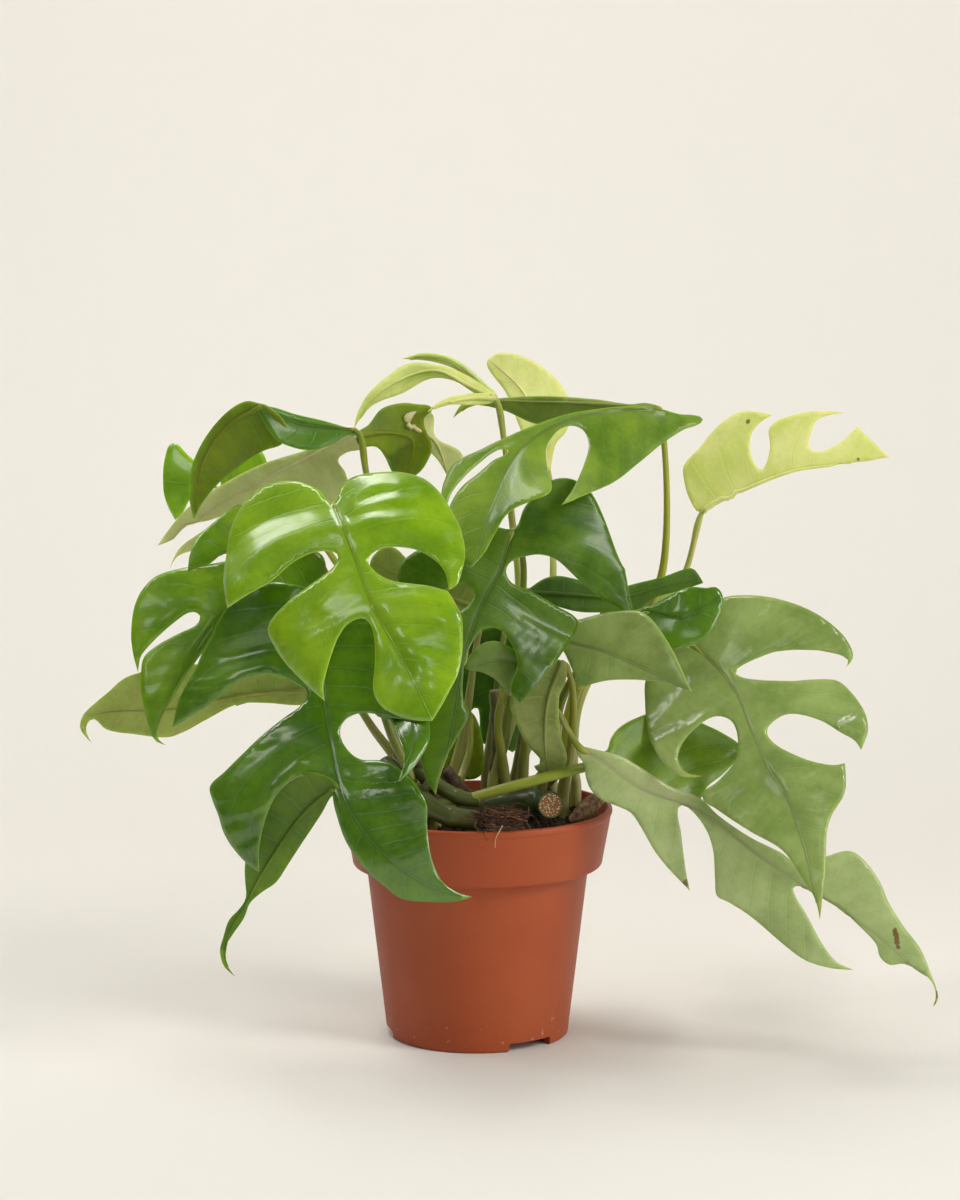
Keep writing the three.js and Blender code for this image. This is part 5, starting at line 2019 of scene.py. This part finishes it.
@dataclass
class RootClump(Piece):
    """Loose roots and bark on the rim: a nest of wiry fibres, some hanging over the edge."""

    heart: str = "500,817,-56.5"
    size: Place = (13, 5.5, 4.8)
    fibres: int = 260
    lumps: int = 16
    hanging: tuple[str, ...] = (
        "498,818,-55 488,826,-59.5 484,834,-61.4 488,841,-61.2",
        "505,820,-55 500,830,-60.4 496,838,-61 495,848,-60.6",
        "512,815,-56 522,812,-58 533,816,-57 540,826,-61 541,831,-63",
        "490,812,-54 478,818,-58 475,826,-61 479,831,-61.6",
        "508,810,-52 516,803,-50 526,806,-48",
        "516,818,-56 526,822,-60 531,829,-62.5",
        "496,808,-52 488,803,-50 480,808,-48",
    )

    def build(self) -> None:
        """Builds the nest: fibres through its heart, hanging ones, and lumps of bark."""
        rng = random.Random(4)
        body = Sculpt()
        heart = traced(self.heart)[0]

        def spot(reach: float) -> np.ndarray:
            """A chance place within the nest, out to a share of its size."""
            way = np.array([rng.gauss(0, 1) for _ in range(3)])
            return heart + way / np.linalg.norm(way) * self.size * reach * rng.uniform(0.45, 1.0)

        for number in range(self.fibres):
            reach = 1.15 if number % 3 else 2.1
            points = [spot(0.8)]
            for _ in range(3):
                points.append(points[-1] * 0.5 + spot(reach) * 0.5)
            thick = rng.choice((0.14, 0.18, 0.24, 0.34))
            path, radii = even(np.array(points), 14), np.linspace(thick, thick * 0.5, 14)
            body.rod(path, radii, 5, number % 2)
        for number, text in enumerate(self.hanging):
            slot = 2 if number == 1 else number % 2
            body.rod(even(traced(text), 22), np.linspace(0.34, 0.12, 22), 6, slot)
        shape, faces = pebble(2)
        for place in [spot(0.7) for _ in range(self.lumps)]:
            scale = [rng.uniform(1.4, 3.2), rng.uniform(0.9, 1.8), rng.uniform(0.9, 2.0)]
            rough = 1 + 0.25 * ripple(shape * 3, 1.1, rng.uniform(0, 9))[:, None]
            body.add(shape * scale * rough + place, faces, 0, np.zeros((len(shape), 3)))
        self.piece = body.make("root_nest")

    def dress(self) -> None:
        """Gives the roots their browns."""
        self.wear(EarthFinish("root_brown", (34, 20, 12), (84, 52, 32), 1.6, 0.4).made(),
                  EarthFinish("root_tan", (70, 42, 26), (138, 94, 60), 1.6, 0.3).made(),
                  EarthFinish("root_pale", (176, 148, 104), (214, 190, 146), 1.6, 0.2).made())
        self.fit("root_fibre", "root_clump")


@dataclass
class DrySheath(Piece):
    """The dried papery sheath scrap at the right of the rim."""

    plan: BladePlan = BladePlan(
        "571,818,-22 590,806,-14 606,796,-8",
        "570,821 573,811 584,799 602,790 608,796 600,808 594,819 582,821", (0.4, -0.2))

    def build(self) -> None:
        """Builds the scrap as a thin curled blade."""
        body = Sculpt()
        Blade(self.plan, 6.0, step=1.0, quilting=0.15, waviness=0.7).add_to(body, 0)
        self.piece = body.make("sheath_scrap")

    def dress(self) -> None:
        """Gives the scrap its papery tan."""
        self.wear(EarthFinish("papery_sheath", (98, 70, 50), (178, 146, 112), 2.2, 0.25).made())
        self.fit("dry_sheath", "dry_sheath")


# ------------ the studio


@dataclass(frozen=True)
class SoftLight:
    """A large soft lamp that looks at the plant. Sizes in metres, power in watts."""

    name: str
    at: Place
    power: float
    size: Pair
    tint: Place = (1.0, 0.985, 0.955)
    aim: Place = (0, 0, 0.16)
    mirrored: bool = True

    def set_up(self) -> None:
        """Adds the lamp."""
        lamp = bpy.data.lights.new(self.name, "AREA")
        lamp.shape = "RECTANGLE"
        lamp.size, lamp.size_y = self.size
        lamp.energy = self.power
        lamp.color = self.tint
        holder = placed(self.name, lamp)
        holder.visible_glossy = self.mirrored
        holder.location = self.at
        way = Vector(self.aim) - Vector(self.at)
        holder.rotation_euler = way.to_track_quat("-Z", "Y").to_euler()


LIGHTS = (
    SoftLight("key_right", (1.2, -0.75, 1.15), 13.5, (0.55, 0.55)),
    SoftLight("side_right", (2.3, -0.95, 0.36), 15.0, (1.2, 0.7), aim=(0, 0, 0.08)),
    SoftLight("over_back_left", (-0.36, 0.44, 1.35), 3.2, (0.36, 0.36)),
    SoftLight("over_left", (-0.3, 0.0, 1.35), 4.5, (0.6, 0.22)),
    SoftLight("high_left", (-0.9, 0.16, 1.1), 4.2, (0.4, 0.4)),
    SoftLight("low_left", (-0.9, -1.25, 0.95), 2.4, (0.4, 0.4)),
    SoftLight("window", (-0.12, -2.0, 1.1), 1.2, (0.34, 0.34)),
    SoftLight("ceiling", (0.0, 0.45, 1.9), 0.9, (1.6, 1.6), aim=(0, 0.45, 0)),
    SoftLight("front_fill", (0.9, -2.0, 1.2), 14.0, (1.4, 1.4), mirrored=False),
)


@dataclass
class Studio:
    """The plain pale floor and wall, the light and the camera. Sizes are in metres.

    surround is how strongly the room's air lights the plant, and haze how bright it looks to the
    camera.
    """

    paper: Rgb = (228, 225, 218)
    air: Rgb = (250, 248, 243)
    surround: float = 0.05
    haze: float = 0.8
    width: float = 6.0
    wall_at: float = 0.95
    sweep: float = 0.5
    sensor: float = 24.0

    def camera(self) -> None:
        """Sets the camera where the photograph was taken from."""
        lens = bpy.data.cameras.new("photo_camera")
        lens.sensor_fit = "VERTICAL"
        lens.sensor_height = self.sensor
        lens.lens = self.sensor * FOCAL / PICTURE[1]
        lens.clip_end = 50
        holder = placed("photo_camera", lens)
        holder.location = Vector(EYE) * MM
        holder.rotation_euler = (math.pi / 2 - PITCH, 0, 0)
        bpy.context.scene.camera = holder

    def paper_material(self) -> bpy.types.Material:
        """The paper's material.

        Returns:
            Plain pale paper that can be seen through from behind.
        """
        material, w, shader = fresh_material("pale_paper")
        paler = srgb(*(channel + 2 for channel in self.paper))
        w.feed(shader, {
            "Base Color": w.blend(w.step(w.grain(3000, 2), 0.3, 0.7), srgb(*self.paper), paler),
            "Roughness": 0.8})
        mix = w.node("ShaderNodeMixShader", {
            0: w.node("ShaderNodeNewGeometry").outputs["Backfacing"], 1: shader.outputs[0],
            2: w.node("ShaderNodeBsdfTransparent").outputs[0]})
        w.join(mix.outputs[0], material.node_tree.nodes["Material Output"].inputs[0])
        return material

    def backdrop(self) -> None:
        """A wide floor that curves up into a wall."""
        deselect()
        bpy.ops.mesh.primitive_plane_add(size=self.width)
        floor = settle(bpy.context.object, "paper_sweep")
        with editing(floor):
            mesh = bmesh.from_edit_mesh(floor.data)
            for vert in mesh.verts:
                if vert.co.y > 0:
                    vert.co.y = self.wall_at
            bpy.ops.mesh.select_all(action="DESELECT")
            for edge in mesh.edges:
                edge.select_set(all(v.co.y > 0 for v in edge.verts))
            bmesh.update_edit_mesh(floor.data)
            bpy.ops.mesh.extrude_region_move(
                TRANSFORM_OT_translate={"value": (0, 0, self.width / 2)})
        refine(floor, "BEVEL", width=self.sweep, segments=24, limit_method="ANGLE")
        shade_smooth(floor)
        floor.data.materials.append(self.paper_material())

    def light(self) -> None:
        """The soft lamps and the even light of the room."""
        for lamp in LIGHTS:
            lamp.set_up()
        world = bpy.data.worlds.new("studio_air")
        world.use_nodes = True
        w = Wiring(world.node_tree)
        seen = w.read("ShaderNodeLightPath", "Is Camera Ray")
        w.feed(world.node_tree.nodes["Background"], {
            "Color": srgb(*self.air),
            "Strength": w.step(seen, 0, 1, (self.surround, self.haze))})
        bpy.context.scene.world = world
        bpy.context.scene.view_settings.view_transform = "Standard"

    def set_up(self) -> None:
        """Sets up the whole studio."""
        self.camera()
        self.backdrop()
        self.light()


def main() -> None:
    """Builds the plant, piece by piece, in its studio."""
    logging.basicConfig(level=logging.INFO, format="%(name)s: %(message)s")
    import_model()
    deselect()
    Studio().set_up()
    pot = Pot()
    builders = [pot, Soil(pot), *(Leaf(plan, number) for number, plan in enumerate(LEAVES)),
                *map(Vine, VINES), Runners(), CutStem(), RootClump(), DrySheath()]
    for builder in builders:
        builder.build()
        builder.dress()
        log.info("%s: %d faces", builder.piece.name, len(builder.piece.data.polygons))


if __name__ == "__main__":
    main()
